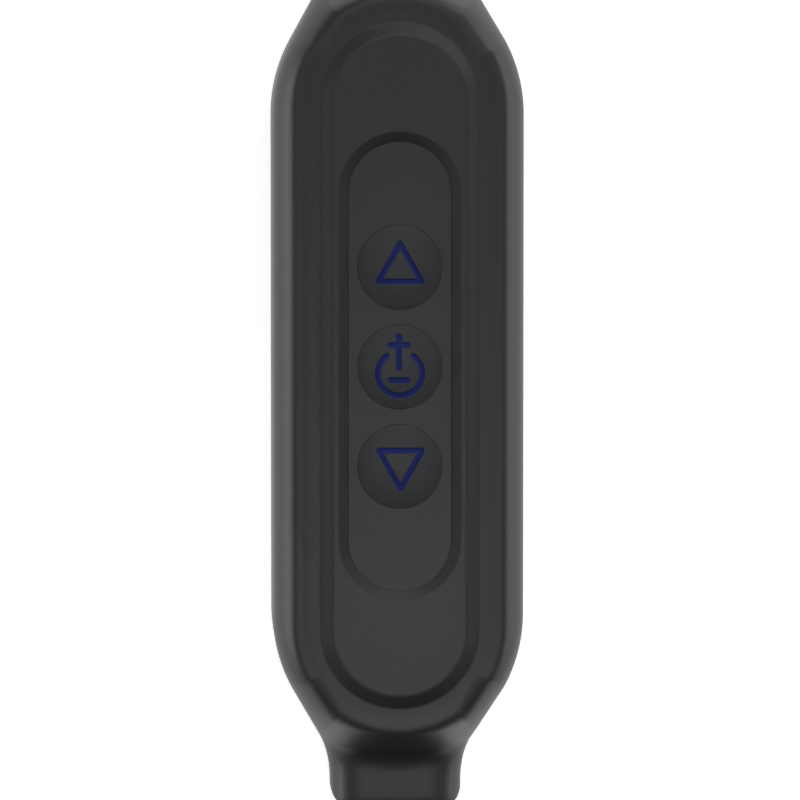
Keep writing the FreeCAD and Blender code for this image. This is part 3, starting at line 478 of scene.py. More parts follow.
def carve(form, *cutters, keep="DIFFERENCE"):
    """What is left of a closed form after others are cut out of it, or joined to it."""
    scene = bpy.context.scene.collection.objects
    blanks = []
    for shape in (form, *cutters):
        mesh = bpy.data.meshes.new("blank")
        shape.to_mesh(mesh)
        shape.free()
        blanks.append(bpy.data.objects.new("blank", mesh))
        scene.link(blanks[-1])
    for cutter in blanks[1:]:
        cut = blanks[0].modifiers.new("Cut", "BOOLEAN")
        cut.operation = keep
        cut.solver = "EXACT"
        cut.object = cutter
    left = bmesh.new()
    left.from_object(blanks[0], bpy.context.evaluated_depsgraph_get())
    for blank in blanks:
        bpy.data.meshes.remove(blank.data)
    return left


OUTSIDE = SIDE_HALF + 0.2
GLAND_AT = (-12.6, 3.6)
GLAND_HOLE = 1.33
GLAND_HOLE_IN = 4.6
MICROPHONE_AT = (12.5, 4.9)
MICROPHONE_HOLE = 0.5
MICROPHONE_HOLE_IN = 6.4
COVER_LOW, COVER_HIGH = (-6.2, 1.5), (6.2, 6.1)
COVER_GAP = 0.12
RECESS_DEPTH = 0.95
RECESS_CORNER = 1.32
SOCKET_LOW, SOCKET_HIGH = (1.0, -4.5, 2.12), (SIDE_HALF - 0.5, 4.5, 5.38)

# The same silicone as the band, from a slightly finer mould, so the pod's lip catches a
# soft light and the rest stays dull. Its grain is drawn coarser than real, at 0.09 mm.
pod_silicone = soft_moulding("Silk-finish silicone skin", "#2B2C2E", 0.46, 0.09, 0.006)

for hand, arm_side in (("left", 1), ("right", -1)):
    form = bmesh.new()
    skin_over(form, pod_rows())
    gland_hole = bmesh.new()
    rod_across(gland_hole, arm_side * GLAND_HOLE_IN, arm_side * OUTSIDE, *GLAND_AT, GLAND_HOLE)
    cutters = [gland_hole]
    if hand == "left":
        recess = bmesh.new()
        low = (SIDE_HALF - RECESS_DEPTH, COVER_LOW[0] - COVER_GAP, COVER_LOW[1] - COVER_GAP)
        high = (OUTSIDE, COVER_HIGH[0] + COVER_GAP, COVER_HIGH[1] + COVER_GAP)
        rounded_slab(recess, low, high, RECESS_CORNER)
        socket = bmesh.new()
        block(socket, SOCKET_LOW, SOCKET_HIGH)
        sound = bmesh.new()
        rod_across(sound, MICROPHONE_HOLE_IN, OUTSIDE, *MICROPHONE_AT, MICROPHONE_HOLE, 32)
        cutters += [recess, socket, sound]
    form = carve(form, *cutters)
    set_in_place(form, "pod_body_" + hand, pod_silicone, hand + "_arm",
                 ["pod_skin_" + hand], at=(arm_side * ARM_AT, POD_AT, 0), crease=60)


# Face plates: moulded ABS with a soft-touch lacquer, pressed into the skin. The flat
# top has a sloping edge all round. The left one has a long opening, chamfered down to
# the key panel.

PLATE_REACH = 18.8
PLATE_SEAT = 9.3
PLATE_HALF = 5.77
PLATE_SIDE = 10.33
PLATE_TOP = 10.85
FOOT_CENTRE = (5.76, 10.695)
FOOT_BEND = 0.35
FLAT_HALF = 4.58
CREST_BEND = 0.7
PANEL_REACH = 12.35
PANEL_TOP = 10.55
OPENING_TOP = 4.43
OPENING_BEND = 0.25
OPENING_FOOT = 3.66

# ABS sprayed with a rubbery lacquer, which gives it the silicone's dull look with a finer
# grain. The lacquer's own grain is under 0.02 mm, and is drawn 0.06 mm wide.
lacquered_abs = soft_moulding("Soft-touch lacquered ABS", "#2A2B2D", 0.44, 0.06, 0.004)


def capsule(form, profile, steps=128):
    """A skin over long round-ended rings, each given as radius, half length and height."""
    rings = []
    for radius, reach, level in profile:
        points = []
        for i in range(steps):
            turn = 2 * math.pi * (i + 0.5) / steps
            end = reach if math.sin(turn) > 0 else -reach
            points.append((radius * math.cos(turn), end + radius * math.sin(turn), level))
        rings.append(points)
    skin_over(form, rings)


def round_bend(radius, level, bend, start, end, steps=6):
    """Radius and height pairs round a bend, between two angles in degrees."""
    turns = [math.radians(start + (end - start) * i / steps) for i in range(steps + 1)]
    return [(radius + bend * math.cos(t), level + bend * math.sin(t)) for t in turns]


def long_rings(reach, pairs):
    """Rings of one half length, from radius and height pairs."""
    return [(radius, reach, level) for radius, level in pairs]


slope = [(PLATE_HALF, PLATE_SEAT), (PLATE_HALF, PLATE_SIDE)]
slope += round_bend(*FOOT_CENTRE, FOOT_BEND, 268, 241, 5)
slope += round_bend(FLAT_HALF, PLATE_TOP - CREST_BEND, CREST_BEND, 61, 90, 9)
opening = round_bend(OPENING_TOP, PLATE_TOP - OPENING_BEND, OPENING_BEND, 90, 113, 5)
opening += [(OPENING_FOOT, PANEL_TOP - 0.02), (OPENING_FOOT, PLATE_SEAT)]

for hand, arm_side in (("left", 1), ("right", -1)):
    form = bmesh.new()
    rings = long_rings(PLATE_REACH, slope)
    if hand == "left":
        rings += long_rings(PANEL_REACH, opening)
    capsule(form, rings)
    if hand == "left":
        caps = [face for face in form.faces if len(face.verts) > 4]
        bmesh.ops.delete(form, geom=caps, context="FACES_ONLY")
        rims = [edge for edge in form.edges if len(edge.link_faces) == 1]
        bmesh.ops.bridge_loops(form, edges=rims)
    set_in_place(form, "front_plate_" + hand, lacquered_abs, hand + "_arm",
                 ["face_plate_" + hand], at=(arm_side * ARM_AT, POD_AT, 0), crease=24)


# Key panel: a flat ABS insert that lies a little below the plate's top, welded in from
# behind. It has a close round hole for each of the three keys.

PANEL_HALF = 3.65
KEY_PITCH = 7.1
KEY_RADIUS = 3.0
KEY_GAP = 0.02
WELL_LEVEL, WELL_LENGTH = 10, 3

# Unpainted ABS from a vapour-blasted mould, so it is as dull as the plate but a touch
# lighter. The blasted grain is drawn 0.06 mm wide, two or three times its real width.
panel_abs = soft_moulding("Fine-grained ABS", "#2C2D2F", 0.44, 0.06, 0.004)

form = bmesh.new()
capsule(form, long_rings(PANEL_REACH, [(PANEL_HALF, PLATE_SEAT), (PANEL_HALF, PANEL_TOP)]))
wells = []
for step in (-1, 0, 1):
    well = bmesh.new()
    middle = Matrix.Translation((0, step * KEY_PITCH, WELL_LEVEL))
    bmesh.ops.create_cone(well, cap_ends=True, segments=128, radius1=KEY_RADIUS + KEY_GAP,
                          radius2=KEY_RADIUS + KEY_GAP, depth=WELL_LENGTH, matrix=middle)
    wells.append(well)
form = carve(form, *wells)
set_in_place(form, "key_panel_face", panel_abs, "left_arm", ["key_panel"],
             at=(ARM_AT, POD_AT, 0))


# Keys: domed silicone caps, each with a moulded mark filled in with dark blue ink.
# The marks are sunk a tenth of a millimetre, so that the ink doesn't rub off.

KEY_EDGE = 10.6
KEY_DOME = 0.36
KEY_RIM = 0.01
MARK_HALF = 0.21
MARK_DEPTH = 0.09
MARK_WALL_IN, MARK_WALL = 0.1, 0.13
INK_BLEED = 0.012
OFF_THE_MARK = 1.0
DOME_ROWS = 75
DOME_STEPS = 256
UP_ARROW = [(0.0, 1.67), (1.53, -1.03), (-1.53, -1.03), (0.0, 1.67)]
DOWN_ARROW = [(0.04, -1.57), (1.56, 1.14), (-1.50, 1.14), (0.04, -1.57)]
RING_CENTRE = Vector((0.0, -0.48))
RING_RADIUS = 1.57
RING_GAP = math.radians(36)
STEM = [(-0.08, 2.12), (-0.08, -0.06)]
STEM_KNOB = 0.05
PLUS_BAR = [(-0.72, 1.56), (0.56, 1.56)]
MINUS_BAR = [(-0.66, -0.95), (0.54, -0.95)]


def turned(form, profile, steps):
    """Turn a profile of radius and height pairs about the Z axis."""
    spots = [form.verts.new((radius, 0, height)) for radius, height in profile]
    if profile[0][0] > 0:
        spots.append(spots[0])
    edges = [form.edges.new(pair) for pair in zip(spots, spots[1:])]
    bmesh.ops.spin(form, geom=edges, cent=(0, 0, 0), axis=(0, 0, 1), angle=2 * math.pi,
                   steps=steps, use_merge=True)
    bmesh.ops.remove_doubles(form, verts=form.verts, dist=1e-4)


def to_stroke(point, start, end):
    """Distance from a point to a straight stroke."""
    along = end - start
    share = max(0.0, min(1.0, (point - start).dot(along) / along.length_squared))
    return (point - start - along * share).length


def to_strokes(point, corners):
    """Distance from a point to the nearest of the strokes between some corners."""
    spots = [Vector(corner) for corner in corners]
    return min(to_stroke(point, a, b) for a, b in zip(spots, spots[1:]))


def louder(point):
    return to_strokes(point, UP_ARROW)


def quieter(point):
    return to_strokes(point, DOWN_ARROW)


def on_and_off(point):
    """Distance to an open ring with a plus on its stem and a minus inside it."""
    spoke = point - RING_CENTRE
    turn = math.atan2(spoke.x, spoke.y)
    if abs(turn) < RING_GAP:
        turn = math.copysign(RING_GAP, turn)
    ring = (spoke - Vector((math.sin(turn), math.cos(turn))) * RING_RADIUS).length
    knob = (point - Vector(STEM[0])).length - STEM_KNOB
    strokes = [to_strokes(point, stroke) for stroke in (STEM, PLUS_BAR, MINUS_BAR)]
    return min(ring, knob, *strokes)


def inked_rubber():
    """Moulded silicone, dull as the band, with flat silicone ink inside each sunk mark.

    The ink is wiped into the mark and cured, so its edge wavers by a hundredth of a mm.
    The mould's 0.02 mm grain is drawn 0.06 mm wide so that it shows.
    """
    material, tree = new_material("Silicone keys with blue ink")
    place = add(tree, "TexCoord").outputs["Object"]
    pits = add(tree, "TexNoise", {"Scale": 1 / (0.0625 * MM), "Detail": 2.0}, Vector=place)
    cloud = add(tree, "TexNoise", {"Scale": 1 / (2 * MM), "Detail": 3.0}, Vector=place)
    stroke = add(tree, "Attribute", {"attribute_name": "stroke"}).outputs["Fac"]
    waver = add(tree, "MapRange", {"To Min": -INK_BLEED, "To Max": INK_BLEED}, Value=pits.outputs["Fac"])
    edge = add(tree, "Math", {"operation": "ADD"}, _0=stroke, _1=waver.outputs[0])
    inked = add(tree, "MapRange", {"From Min": MARK_HALF - INK_BLEED, "From Max": MARK_HALF + INK_BLEED,
                                   "To Min": 1.0, "To Max": 0.0}, Value=edge.outputs[0])
    tone = add(tree, "MapRange", {"To Min": 0.88, "To Max": 1.12}, Value=cloud.outputs["Fac"])
    rubber = add(tree, "Mix", {"data_type": "RGBA", "blend_type": "MULTIPLY", 0: 1.0,
                               6: linear("#2B2C2E")}, _7=tone.outputs[0])
    ink = add(tree, "Mix", {"data_type": "RGBA", "blend_type": "MULTIPLY", 0: 1.0,
                            6: linear("#0A1C64")}, _7=tone.outputs[0])
    colour = add(tree, "Mix", {"data_type": "RGBA"}, _0=inked.outputs[0], _6=rubber.outputs[2],
                 _7=ink.outputs[2])
    dull = add(tree, "MapRange", {"To Min": 0.45, "To Max": 0.75}, Value=inked.outputs[0])
    bump = add(tree, "Bump", {"Strength": 0.3, "Distance": 0.004 * MM}, Height=pits.outputs["Fac"])
    skin = add(tree, "BsdfPrincipled", {"IOR": 1.43}, Base_Color=colour.outputs[2],
               Roughness=dull.outputs[0], Normal=bump.outputs[0])
    add(tree, "OutputMaterial", Surface=skin.outputs[0])
    return material


key_rubber = inked_rubber()

for name, step, mark in (("volume_up", 1, louder), ("power", 0, on_and_off), ("volume_down", -1, quieter)):
    form = bmesh.new()
    bend = (KEY_RADIUS ** 2 + KEY_DOME ** 2) / (2 * KEY_DOME)
    outs = [KEY_RADIUS * i / DOME_ROWS for i in range(DOME_ROWS + 1)]
    profile = [(out, KEY_EDGE + KEY_DOME - bend + math.sqrt(bend ** 2 - out ** 2)) for out in outs]
    turned(form, profile + [(KEY_RADIUS, PLATE_SEAT), (0, PLATE_SEAT)], DOME_STEPS)
    stroke = form.verts.layers.float.new("stroke")
    for vert in form.verts:
        distance = mark(vert.co.xy) if vert.co.z > KEY_EDGE - KEY_RIM else OFF_THE_MARK
        vert[stroke] = min(distance, OFF_THE_MARK)
        if vert.co.z > KEY_EDGE + KEY_RIM:
            vert.co.z -= MARK_DEPTH * (1 - ease((distance - MARK_HALF + MARK_WALL_IN) / MARK_WALL))
    set_in_place(form, name + "_cap", key_rubber, name + "_key", [name + "_button"],
                 at=(ARM_AT, POD_AT + step * KEY_PITCH, 0), crease=50)


# Port cover: a rubber door over the charging socket, on the outer side of the left pod.
# A plug on its back fills the socket's mouth, and a thumbnail scoop is at its tail
# end.

COVER_IN, COVER_OUT = 8.1, 9.0
COVER_CORNER = 1.2
COVER_EDGE = 0.2
PLUG_LOW, PLUG_HIGH = (7.6, -4.3, 2.4), (8.15, 4.3, 5.1)
PLUG_CORNER = 1.2
SCOOP_AT = (9.5, -5.2, 3.8)
SCOOP_RADIUS = 0.75
SCOOP_LENGTH = 2.6

# Silicone rubber, moulded with a rougher, duller skin than the pod's. Its grain is drawn
# 0.11 mm wide, some four times its real width.
cover_rubber = soft_moulding("Moulded silicone rubber door", "#262729", 0.52, 0.11, 0.008)

form = bmesh.new()
rounded_slab(form, (COVER_IN, *COVER_LOW), (COVER_OUT, *COVER_HIGH), COVER_CORNER, COVER_EDGE)
plug = bmesh.new()
rounded_slab(plug, PLUG_LOW, PLUG_HIGH, PLUG_CORNER)
form = carve(form, plug, keep="UNION")
scoop = bmesh.new()
bmesh.ops.create_cone(scoop, cap_ends=True, segments=64, radius1=SCOOP_RADIUS, radius2=SCOOP_RADIUS,
                      depth=SCOOP_LENGTH, matrix=Matrix.Translation(SCOOP_AT))
form = carve(form, scoop)
set_in_place(form, "port_door", cover_rubber, "charging_cover", ["port_cover"],
             at=(ARM_AT, POD_AT, 0))


# Cable glands: a rubber bush in each pod's outer side, flush with the skin, where a
# bud's thin cable would leave. It is moulded with a soft rim round its bore.

GLAND_IN, GLAND_OUT = 4.65, 8.97
GLAND_RADIUS = 1.3
GLAND_BORE = 0.9
RIM_BEND = 0.12

# Carbon-filled rubber, compression moulded, so it is the blackest and dullest piece. Its
# grain is drawn 0.1 mm wide, about three times its real width.
gland_rubber = soft_moulding("Moulded rubber bush", "#1E1F21", 0.6, 0.1, 0.008)

for hand, arm_side in (("left", 1), ("right", -1)):
    form = bmesh.new()
    outer = round_bend(GLAND_RADIUS - RIM_BEND, GLAND_OUT - RIM_BEND, RIM_BEND, 0, 90)
    inner = round_bend(GLAND_BORE + RIM_BEND, GLAND_OUT - RIM_BEND, RIM_BEND, 90, 180)
    turned(form, [(GLAND_BORE, GLAND_IN), (GLAND_RADIUS, GLAND_IN)] + outer + inner, 64)
    bmesh.ops.rotate(form, cent=(0, 0, 0), matrix=Matrix.Rotation(arm_side * math.pi / 2, 3, "Y"),
                     verts=form.verts)
    place = (arm_side * ARM_AT, POD_AT + GLAND_AT[0], GLAND_AT[1])
    set_in_place(form, "cable_bush_" + hand, gland_rubber, hand + "_arm",
                 ["cable_gland_" + hand], at=place)


# Ear buds: a moulded ABS cap and housing, snapped together with a fine groove between
# them. The housing narrows in a bell to a nozzle that leans up into the ear, and has a
# collared hole for its cable on the outer side. The cap's back docks on the band's tail.

BUD_RADIUS = 5.2
BUD_BEND = 0.9
CAP_DEPTH = 2.6
GROOVE = 0.1
BELL_START, BELL_END = 5.2, 9.0
BELL_MOUTH = 3.0
DOCK_RING = (3.3, 3.6, 0.12)
NOZZLE_TILT = math.radians(18)
NOZZLE_AT = 6.0
NOZZLE_LENGTH = 9.4
NOZZLE_RADIUS = 2.4
NOZZLE_BORE = 1.7
NOZZLE_EDGE = 0.15
BORE_START = 5.2
CABLE_AT = 4.1
CABLE_HOLE = 0.9
CABLE_HOLE_IN = 3.2
COLLAR_RADIUS = 1.45
COLLAR_IN, COLLAR_OUT = 3.8, 5.45
COLLAR_EDGE = 0.15
DOCK_SLOPE = 0.08
BELL_STEPS = 24

# ABS straight from a finely blasted mould. It is glossier than the silicone, so the bud
# shows a soft highlight. The blasted grain is drawn 0.07 mm wide so that it shows.
bud_abs = soft_moulding("Satin ABS", "#232426", 0.38, 0.07, 0.003)


def on_nozzle(form):
    """Lean a form made along the Z axis over to the nozzle's axis."""
    lean = Matrix.Rotation(-NOZZLE_TILT, 3, "X")
    bmesh.ops.rotate(form, cent=(0, 0, 0), matrix=lean, verts=form.verts)
    bmesh.ops.translate(form, vec=(0, 0, NOZZLE_AT), verts=form.verts)


def set_on_bud(form, name, material, hand, node):
    """Turn a form made along the bud's own axis to face the tail end, and fix it there."""
    to_tail = Matrix.Rotation(math.pi / 2, 3, "X")
    bmesh.ops.rotate(form, cent=(0, 0, 0), matrix=to_tail, verts=form.verts)
    low, high = (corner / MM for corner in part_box("bud_cap_" + hand))
    dock = ((low.x + high.x) / 2, high.y, (low.z + high.z) / 2)
    return set_in_place(form, name + "_" + hand, material, hand + "_bud",
                        [node + "_" + hand], at=dock)


def bell():
    """Profile of the housing's shoulder, an S-curve from the bud's width to the nose."""
    shares = [i / BELL_STEPS for i in range(BELL_STEPS + 1)]
    return [(BELL_MOUTH + (BUD_RADIUS - BELL_MOUTH) * (1 + math.cos(math.pi * s)) / 2,
             BELL_START + (BELL_END - BELL_START) * s) for s in shares]


for hand, arm_side in (("left", 1), ("right", -1)):
    form = bmesh.new()
    ring_in, ring_out, ring_deep = DOCK_RING
    back = [(0, 0), (ring_in, 0), (ring_in + DOCK_SLOPE, ring_deep)]
    back += [(ring_out - DOCK_SLOPE, ring_deep), (ring_out, 0)]
    corner = round_bend(BUD_RADIUS - BUD_BEND, BUD_BEND, BUD_BEND, -90, 0, 12)
    seam = [(BUD_RADIUS, CAP_DEPTH - GROOVE), (BUD_RADIUS - GROOVE, CAP_DEPTH), (0, CAP_DEPTH)]
    turned(form, back + corner + seam, 128)
    set_on_bud(form, "bud_back", bud_abs, hand, "bud_cap")

    form = bmesh.new()
    foot = [(0, CAP_DEPTH), (BUD_RADIUS - GROOVE, CAP_DEPTH), (BUD_RADIUS, CAP_DEPTH + GROOVE)]
    turned(form, foot + bell() + [(0, BELL_END)], 128)
    collar = bmesh.new()
    collar_lip = round_bend(COLLAR_RADIUS - COLLAR_EDGE, COLLAR_OUT - COLLAR_EDGE, COLLAR_EDGE, 0, 90)
    turned(collar, [(0, COLLAR_IN), (COLLAR_RADIUS, COLLAR_IN)] + collar_lip + [(0, COLLAR_OUT)], 64)
    tube = bmesh.new()
    tube_lip = round_bend(NOZZLE_RADIUS - NOZZLE_EDGE, NOZZLE_LENGTH - NOZZLE_EDGE, NOZZLE_EDGE, 0, 90)
    turned(tube, [(0, 0), (NOZZLE_RADIUS, 0)] + tube_lip + [(0, NOZZLE_LENGTH)], 96)
    on_nozzle(tube)
    bore = bmesh.new()
    past = NOZZLE_LENGTH + 1
    turned(bore, [(0, BORE_START), (NOZZLE_BORE, BORE_START), (NOZZLE_BORE, past), (0, past)], 96)
    on_nozzle(bore)
    hole = bmesh.new()
    turned(hole, [(0, CABLE_HOLE_IN), (CABLE_HOLE, CABLE_HOLE_IN), (CABLE_HOLE, 6), (0, 6)], 48)
    for shape in (collar, hole):
        bmesh.ops.rotate(shape, cent=(0, 0, 0), matrix=Matrix.Rotation(arm_side * math.pi / 2, 3, "Y"),
                         verts=shape.verts)
        bmesh.ops.translate(shape, vec=(0, 0, CABLE_AT), verts=shape.verts)
    form = carve(carve(form, collar, tube, keep="UNION"), bore, hole)
    set_on_bud(form, "bud_shell", bud_abs, hand, "bud_housing")


# Nozzle screens: a domed disc of woven stainless steel, glued in each nozzle to keep
# wax out. Real wires are 0.06 mm apart, and are drawn 0.2 mm apart so that they show.

SCREEN_AT = 8.8
SCREEN_EDGE = 0.06
SCREEN_DOME = 0.22
SCREEN_ROWS = 8
WIRE_PITCH = 0.2
WAVE_LENGTH = 0.314


def woven_steel():
    """Bright drawn wire over gaps painted dark as painted shade for the shadowed bore behind them, in two
    crossed waves. A wave of scale 1 is 0.314 long.
    """
    material, tree = new_material("Woven stainless steel mesh")
    place = add(tree, "TexCoord").outputs["Object"]
    flat = add(tree, "Mapping", {"Rotation": (NOZZLE_TILT - math.pi / 2, 0, 0)}, Vector=place)
    bands = {"wave_type": "BANDS", "Scale": WAVE_LENGTH / (WIRE_PITCH * MM), "Distortion": 0.0}
    warp = add(tree, "TexWave", {**bands, "bands_direction": "X"}, Vector=flat.outputs[0])
    weft = add(tree, "TexWave", {**bands, "bands_direction": "Y"}, Vector=flat.outputs[0])
    wires = add(tree, "Math", {"operation": "MAXIMUM"}, _0=warp.outputs["Fac"], _1=weft.outputs["Fac"])
    shade = add(tree, "ValToRGB", Fac=wires.outputs[0])
    # The gaps' dark colour is painted shade: it stands for the shadowed bore seen through the mesh.
    shade.color_ramp.elements[0].color = linear("#1A1A1B")
    shade.color_ramp.elements[1].color = linear("#8C8D8F")
    shade.color_ramp.elements[0].position = 0.35
    shade.color_ramp.elements[1].position = 0.8
    bump = add(tree, "Bump", {"Strength": 0.8, "Distance": 0.04 * MM}, Height=wires.outputs[0])
    steel = add(tree, "BsdfPrincipled", {"Metallic": 1.0, "Roughness": 0.35},
                Base_Color=shade.outputs[0], Normal=bump.outputs[0])
    add(tree, "OutputMaterial", Surface=steel.outputs[0])
    return material


screen_steel = woven_steel()

for hand in ("left", "right"):
    form = bmesh.new()
    shares = [i / SCREEN_ROWS for i in range(SCREEN_ROWS + 1)]
    dome = [(NOZZLE_BORE * s, SCREEN_AT + SCREEN_EDGE + SCREEN_DOME * (1 - s ** 2)) for s in shares]
    turned(form, [(0, SCREEN_AT), (NOZZLE_BORE, SCREEN_AT)] + dome[::-1], 64)
    on_nozzle(form)
    set_on_bud(form, "wax_screen", screen_steel, hand, "nozzle_mesh")


# Ear tips: soft silicone mushrooms, pushed on over the nozzles. Each is moulded in one
# piece: a thin, nearly conical skirt that folds back from its mouth round a sleeve.

TIP_RADIUS = 5.95
TIP_START, TIP_END = 4.0, 11.2
TIP_MOUTH = 3.3
TIP_BORE = 1.85
MOUTH_BEND, BORE_BEND = 0.45, 0.3
SKIRT_ROWS = 16
SKIRT_LENGTH = 6.5
SKIRT_TAPER, SKIRT_CURL = 2.2, 0.5
SKIRT_WALL = 0.5
SEAT_GAP = 0.03

# Liquid silicone, injected into a finely matted mould: the smoothest of the rubbers, with
# a faint satin sheen. Its grain is drawn 0.08 mm wide so that it shows.
tip_silicone = soft_moulding("Clear-matt ear tip silicone", "#303234", 0.42, 0.08, 0.003, 1.41)


def tip_profile():
    """Ring of points: skirt's outside, mouth, bore, sleeve, and back inside the skirt."""
    shares = [i / SKIRT_ROWS for i in range(SKIRT_ROWS + 1)]
    skirt = [(TIP_RADIUS - 0.05 - SKIRT_TAPER * t - SKIRT_CURL * t ** 4,
              TIP_START + 0.25 + SKIRT_LENGTH * t) for t in shares]
    rim = [(TIP_RADIUS - 0.35, TIP_START), (TIP_RADIUS - 0.15, TIP_START + 0.06)]
    mouth = round_bend(TIP_MOUTH - 0.5, TIP_END - MOUTH_BEND, MOUTH_BEND, 0, 90)
    mouth += round_bend(TIP_BORE + BORE_BEND, TIP_END - BORE_BEND, BORE_BEND, 90, 180)
    seat = NOZZLE_RADIUS + SEAT_GAP
    sleeve = [(TIP_BORE, 9.65), (seat, 9.55), (seat, 4.75), (2.75, 4.6), (3.05, 4.7), (3.15, 5.0),
              (3.15, 8.9), (3.3, 9.2)]
    inside = [(radius - SKIRT_WALL, reach - 0.1) for radius, reach in skirt[12::-1]]
    return rim + skirt + mouth + sleeve + inside


for hand in ("left", "right"):
    form = bmesh.new()
    turned(form, tip_profile(), 128)
    on_nozzle(form)
    set_on_bud(form, "soft_tip", tip_silicone, hand, "ear_tip")


# Parts inside: the casings, boards, wires, cell and drivers. They keep their made shapes,
# and each gets the finish that its real part has when the pod or bud is opened.


def finish(slot, material):
    """Give a material to every solid that the record puts in a slot."""
    for part in frame["record"]["subparts"]:
        if part["material_slot"] == slot:
            for place in frame["nodes"][part["node"]].material_slots:
                place.material = material


def metal(name, colour, rough, pitch, stretch=(1, 1, 1), bump_depth=0.002):
    """A metal with a fine grain in mm, drawn out along the axes where stretch is small."""
    material, tree = new_material(name)
    place = add(tree, "TexCoord").outputs["Object"]
    drawn = add(tree, "Mapping", {"Scale": stretch}, Vector=place)
    grain = add(tree, "TexNoise", {"Scale": 1 / (pitch * MM), "Detail": 3.0}, Vector=drawn.outputs[0])
    tone = add(tree, "MapRange", {"To Min": 0.85, "To Max": 1.1}, Value=grain.outputs["Fac"])
    shade = add(tree, "Mix", {"data_type": "RGBA", "blend_type": "MULTIPLY", 0: 1.0, 6: linear(colour)},
                _7=tone.outputs[0])
    dull = add(tree, "MapRange", {"To Min": rough - 0.08, "To Max": rough + 0.08},
               Value=grain.outputs["Fac"])
    bump = add(tree, "Bump", {"Strength": 0.3, "Distance": bump_depth * MM}, Height=grain.outputs["Fac"])
    skin = add(tree, "BsdfPrincipled", {"Metallic": 1.0}, Base_Color=shade.outputs[2],
               Roughness=dull.outputs[0], Normal=bump.outputs[0])
    add(tree, "OutputMaterial", Surface=skin.outputs[0])
    return material


TRACK_SCALE = 700.0


def circuit_board():
    """Glass cloth and epoxy under green solder resist, screened on and glossy.

    The etched copper tracks under it show as a faint relief. At a scale of 700 the
    pattern's rows are a quarter of 1/700 m apart, which is 0.36 mm.
    """
    material, tree = new_material("Solder-masked fibreglass")
    place = add(tree, "TexCoord").outputs["Object"]
    tracks = add(tree, "TexBrick", {"Scale": TRACK_SCALE, "Mortar Size": 0.06, "offset": 0.5},
                 Vector=place)
    tracks.inputs["Color1"].default_value = linear("#12402A")
    tracks.inputs["Color2"].default_value = linear("#164A31")
    tracks.inputs["Mortar"].default_value = linear("#2B6E48")
    bump = add(tree, "Bump", {"Strength": 0.3, "Distance": 0.03 * MM}, Height=tracks.outputs["Fac"])
    skin = add(tree, "BsdfPrincipled", {"Roughness": 0.3, "IOR": 1.55, "Coat Weight": 0.4},
               Base_Color=tracks.outputs["Color"], Normal=bump.outputs[0])
    add(tree, "OutputMaterial", Surface=skin.outputs[0])
    return material


# Casings: glass-filled polycarbonate from a texture-etched mould, dull with a fine sparkle.
finish("casing_plastic", soft_moulding("Glass-filled polycarbonate", "#1C1D1F", 0.5, 0.12, 0.01, 1.58))
# Keys inside: a silicone web, dull from its mould, and harder acetal plungers, waxy white.
finish("key_web_silicone", soft_moulding("Moulded silicone web", "#2E2F31", 0.55, 0.15, 0.008, 1.41))
finish("plunger_plastic", soft_moulding("Moulded acetal", "#D8D8D2", 0.35, 0.1, 0.002, 1.48, 0.03))
# Harness: a PVC jacket, extruded, so satin with a faint ripple 0.3 mm long.
finish("harness_jacket", soft_moulding("Extruded PVC jacket", "#151617", 0.4, 0.3, 0.01, 1.53))
# Springy wire: nickel titanium drawn through dies, which leaves fine lines along it.
finish("spring_steel", metal("Drawn nickel titanium wire", "#A5A49F", 0.3, 0.05, (1, 0.05, 1)))
# Crimps and screws: brass plated with tin, so a soft grey, and steel under black zinc.
finish("crimp_metal", metal("Tin-plated brass crimp", "#C9C7C0", 0.38, 0.12))
finish("screw_steel", metal("Black zinc screw steel", "#55565A", 0.4, 0.08))
# Dock magnets and drivers: bright plated nickel, warm in tone, and plain pressed steel.
finish("magnet_nickel", metal("Nickel-plated magnet", "#BDBAB2", 0.22, 0.2))
finish("driver_metal", metal("Stamped steel driver case", "#A8A8A6", 0.34, 0.15))
# Switches, shields and socket: thin strip, with rolling lines along the way it was drawn.
finish("switch_metal", metal("Stamped stainless switch cover", "#C4C4C2", 0.3, 0.1, (1, 0.1, 1)))
finish("shield_metal", metal("Tinned steel shield", "#CBCAC6", 0.32, 0.25))
finish("port_steel", metal("Deep-drawn stainless socket shell", "#B9B9B8", 0.28, 0.08, (0.1, 1, 1)))
# Motor: a steel can turned on a lathe, so it has fine rings. Microphone: a gold-flashed can.
finish("motor_steel", metal("Turned motor case steel", "#AEAEAC", 0.3, 0.06, (1, 0.1, 1)))
finish("microphone_can", metal("Gold-flashed microphone can", "#C8AE6A", 0.3, 0.1))
finish("board_laminate", circuit_board())
# Battery: a lithium pouch in satin, slightly crinkled foil, on a pad of closed-cell foam.
finish("cell_foil", metal("Laminated pouch foil", "#B6B8BA", 0.42, 0.6, (1, 1, 1), 0.03))
finish("foam_pad", soft_moulding("Closed-cell foam", "#3A3A3B", 0.9, 0.35, 0.08, 1.4, 0.2))
# Driver film: thin polyester, formed hot, with a soft sheen.
finish("diaphragm_film", soft_moulding("Formed polyester film", "#9A8F7A", 0.25, 0.4, 0.01, 1.6))


# Studio: a white floor, soft lights all round, and a camera above the control pod,
# turned a little from the nape and from the wearer's right.

CAMERA_DISTANCE = 378 * MM
LEAN_TO_NAPE = math.radians(3.67)
LEAN_TO_RIGHT = math.radians(2.445)
VIEW_WIDTH = 57.3 * MM
SENSOR_WIDTH = 36
FLOOR_REACH = 6.0
pod_centre = Vector((ARM_AT, POD_AT, 0)) * MM
aim = pod_centre + Vector((0.12, -2.522, 8.0)) * MM
away = Vector((-math.tan(LEAN_TO_RIGHT), math.tan(LEAN_TO_NAPE), 1)).normalized()

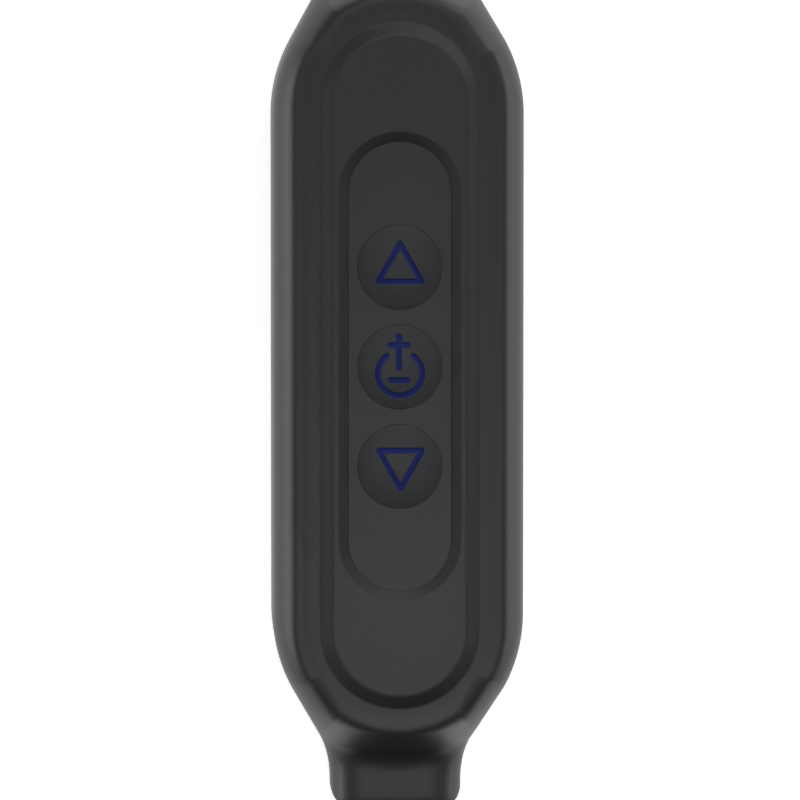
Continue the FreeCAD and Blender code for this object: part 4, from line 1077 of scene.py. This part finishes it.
camera_data = bpy.data.cameras.new("Camera")
camera_data.sensor_width = SENSOR_WIDTH
camera_data.lens = SENSOR_WIDTH * CAMERA_DISTANCE / VIEW_WIDTH
camera_data.clip_start = 0.01
camera = bpy.data.objects.new("Camera", camera_data)
bpy.context.scene.collection.objects.link(camera)
side_axis = Vector((0, 1, 0)).cross(away).normalized()
up_axis = away.cross(side_axis)
turn = Matrix((side_axis, up_axis, away)).transposed().to_4x4()
camera.matrix_world = Matrix.Translation(aim + away * CAMERA_DISTANCE) @ turn
bpy.context.scene.camera = camera

floor_form = bmesh.new()
bmesh.ops.create_grid(floor_form, x_segments=1, y_segments=1, size=FLOOR_REACH)
floor_mesh = bpy.data.meshes.new("floor")
floor_form.to_mesh(floor_mesh)
floor_form.free()
floor = bpy.data.objects.new("floor", floor_mesh)
bpy.context.scene.collection.objects.link(floor)
paper, tree = new_material("White paper sweep")
sheet = add(tree, "BsdfPrincipled", {"Base Color": linear("#F4F4F4"), "Roughness": 0.8,
                                     "Emission Color": linear("#FFFFFF"), "Emission Strength": 0.7})
add(tree, "OutputMaterial", Surface=sheet.outputs[0])
floor_mesh.materials.append(paper)

world = bpy.data.worlds.new("Studio")
world.use_nodes = True
world.node_tree.nodes["Background"].inputs["Color"].default_value = linear("#FFFFFF")
world.node_tree.nodes["Background"].inputs["Strength"].default_value = 0.0
bpy.context.scene.world = world
bpy.context.scene.view_settings.view_transform = "Standard"


def soft_light(name, place, power, width, height):
    """A softbox that faces the pod: its place and size in metres, and its power in watts."""
    data = bpy.data.lights.new(name, "AREA")
    data.shape = "RECTANGLE"
    data.size = width
    data.size_y = height
    data.energy = power
    lamp = bpy.data.objects.new(name, data)
    bpy.context.scene.collection.objects.link(lamp)
    lamp.location = pod_centre + Vector(place)
    lamp.rotation_euler = Vector(place).to_track_quat("Z", "Y").to_euler()


soft_light("Top light", (0, 0, 0.7), 2.3, 1.1, 1.1)
soft_light("Nape light", (0.03, 0.35, 0.36), 0.45, 0.3, 0.3)
soft_light("Low nape light", (0.35, 0.35, 0.13), 0.8, 0.4, 0.25)
soft_light("Low right light", (0.5, 0.0, 0.06), 0.69, 0.4, 0.1)
soft_light("Low left light", (-0.5, 0.0, 0.06), 1.31, 0.4, 0.1)


SPOT_LENS = 0.04


def spot_light(name, place, target, power, cone):
    """A soft-edged spot: its place and target in metres, power in watts, cone in degrees."""
    data = bpy.data.lights.new(name, "SPOT")
    data.energy = power
    data.spot_size = math.radians(cone)
    data.spot_blend = 1.0
    data.shadow_soft_size = SPOT_LENS
    lamp = bpy.data.objects.new(name, data)
    bpy.context.scene.collection.objects.link(lamp)
    lamp.location = pod_centre + Vector(place)
    lamp.rotation_euler = (Vector(place) - Vector(target)).to_track_quat("Z", "Y").to_euler()


spot_light("Tail spot", (0, -0.02, 0.6), (0, -0.06, 0), 2.7, 13)
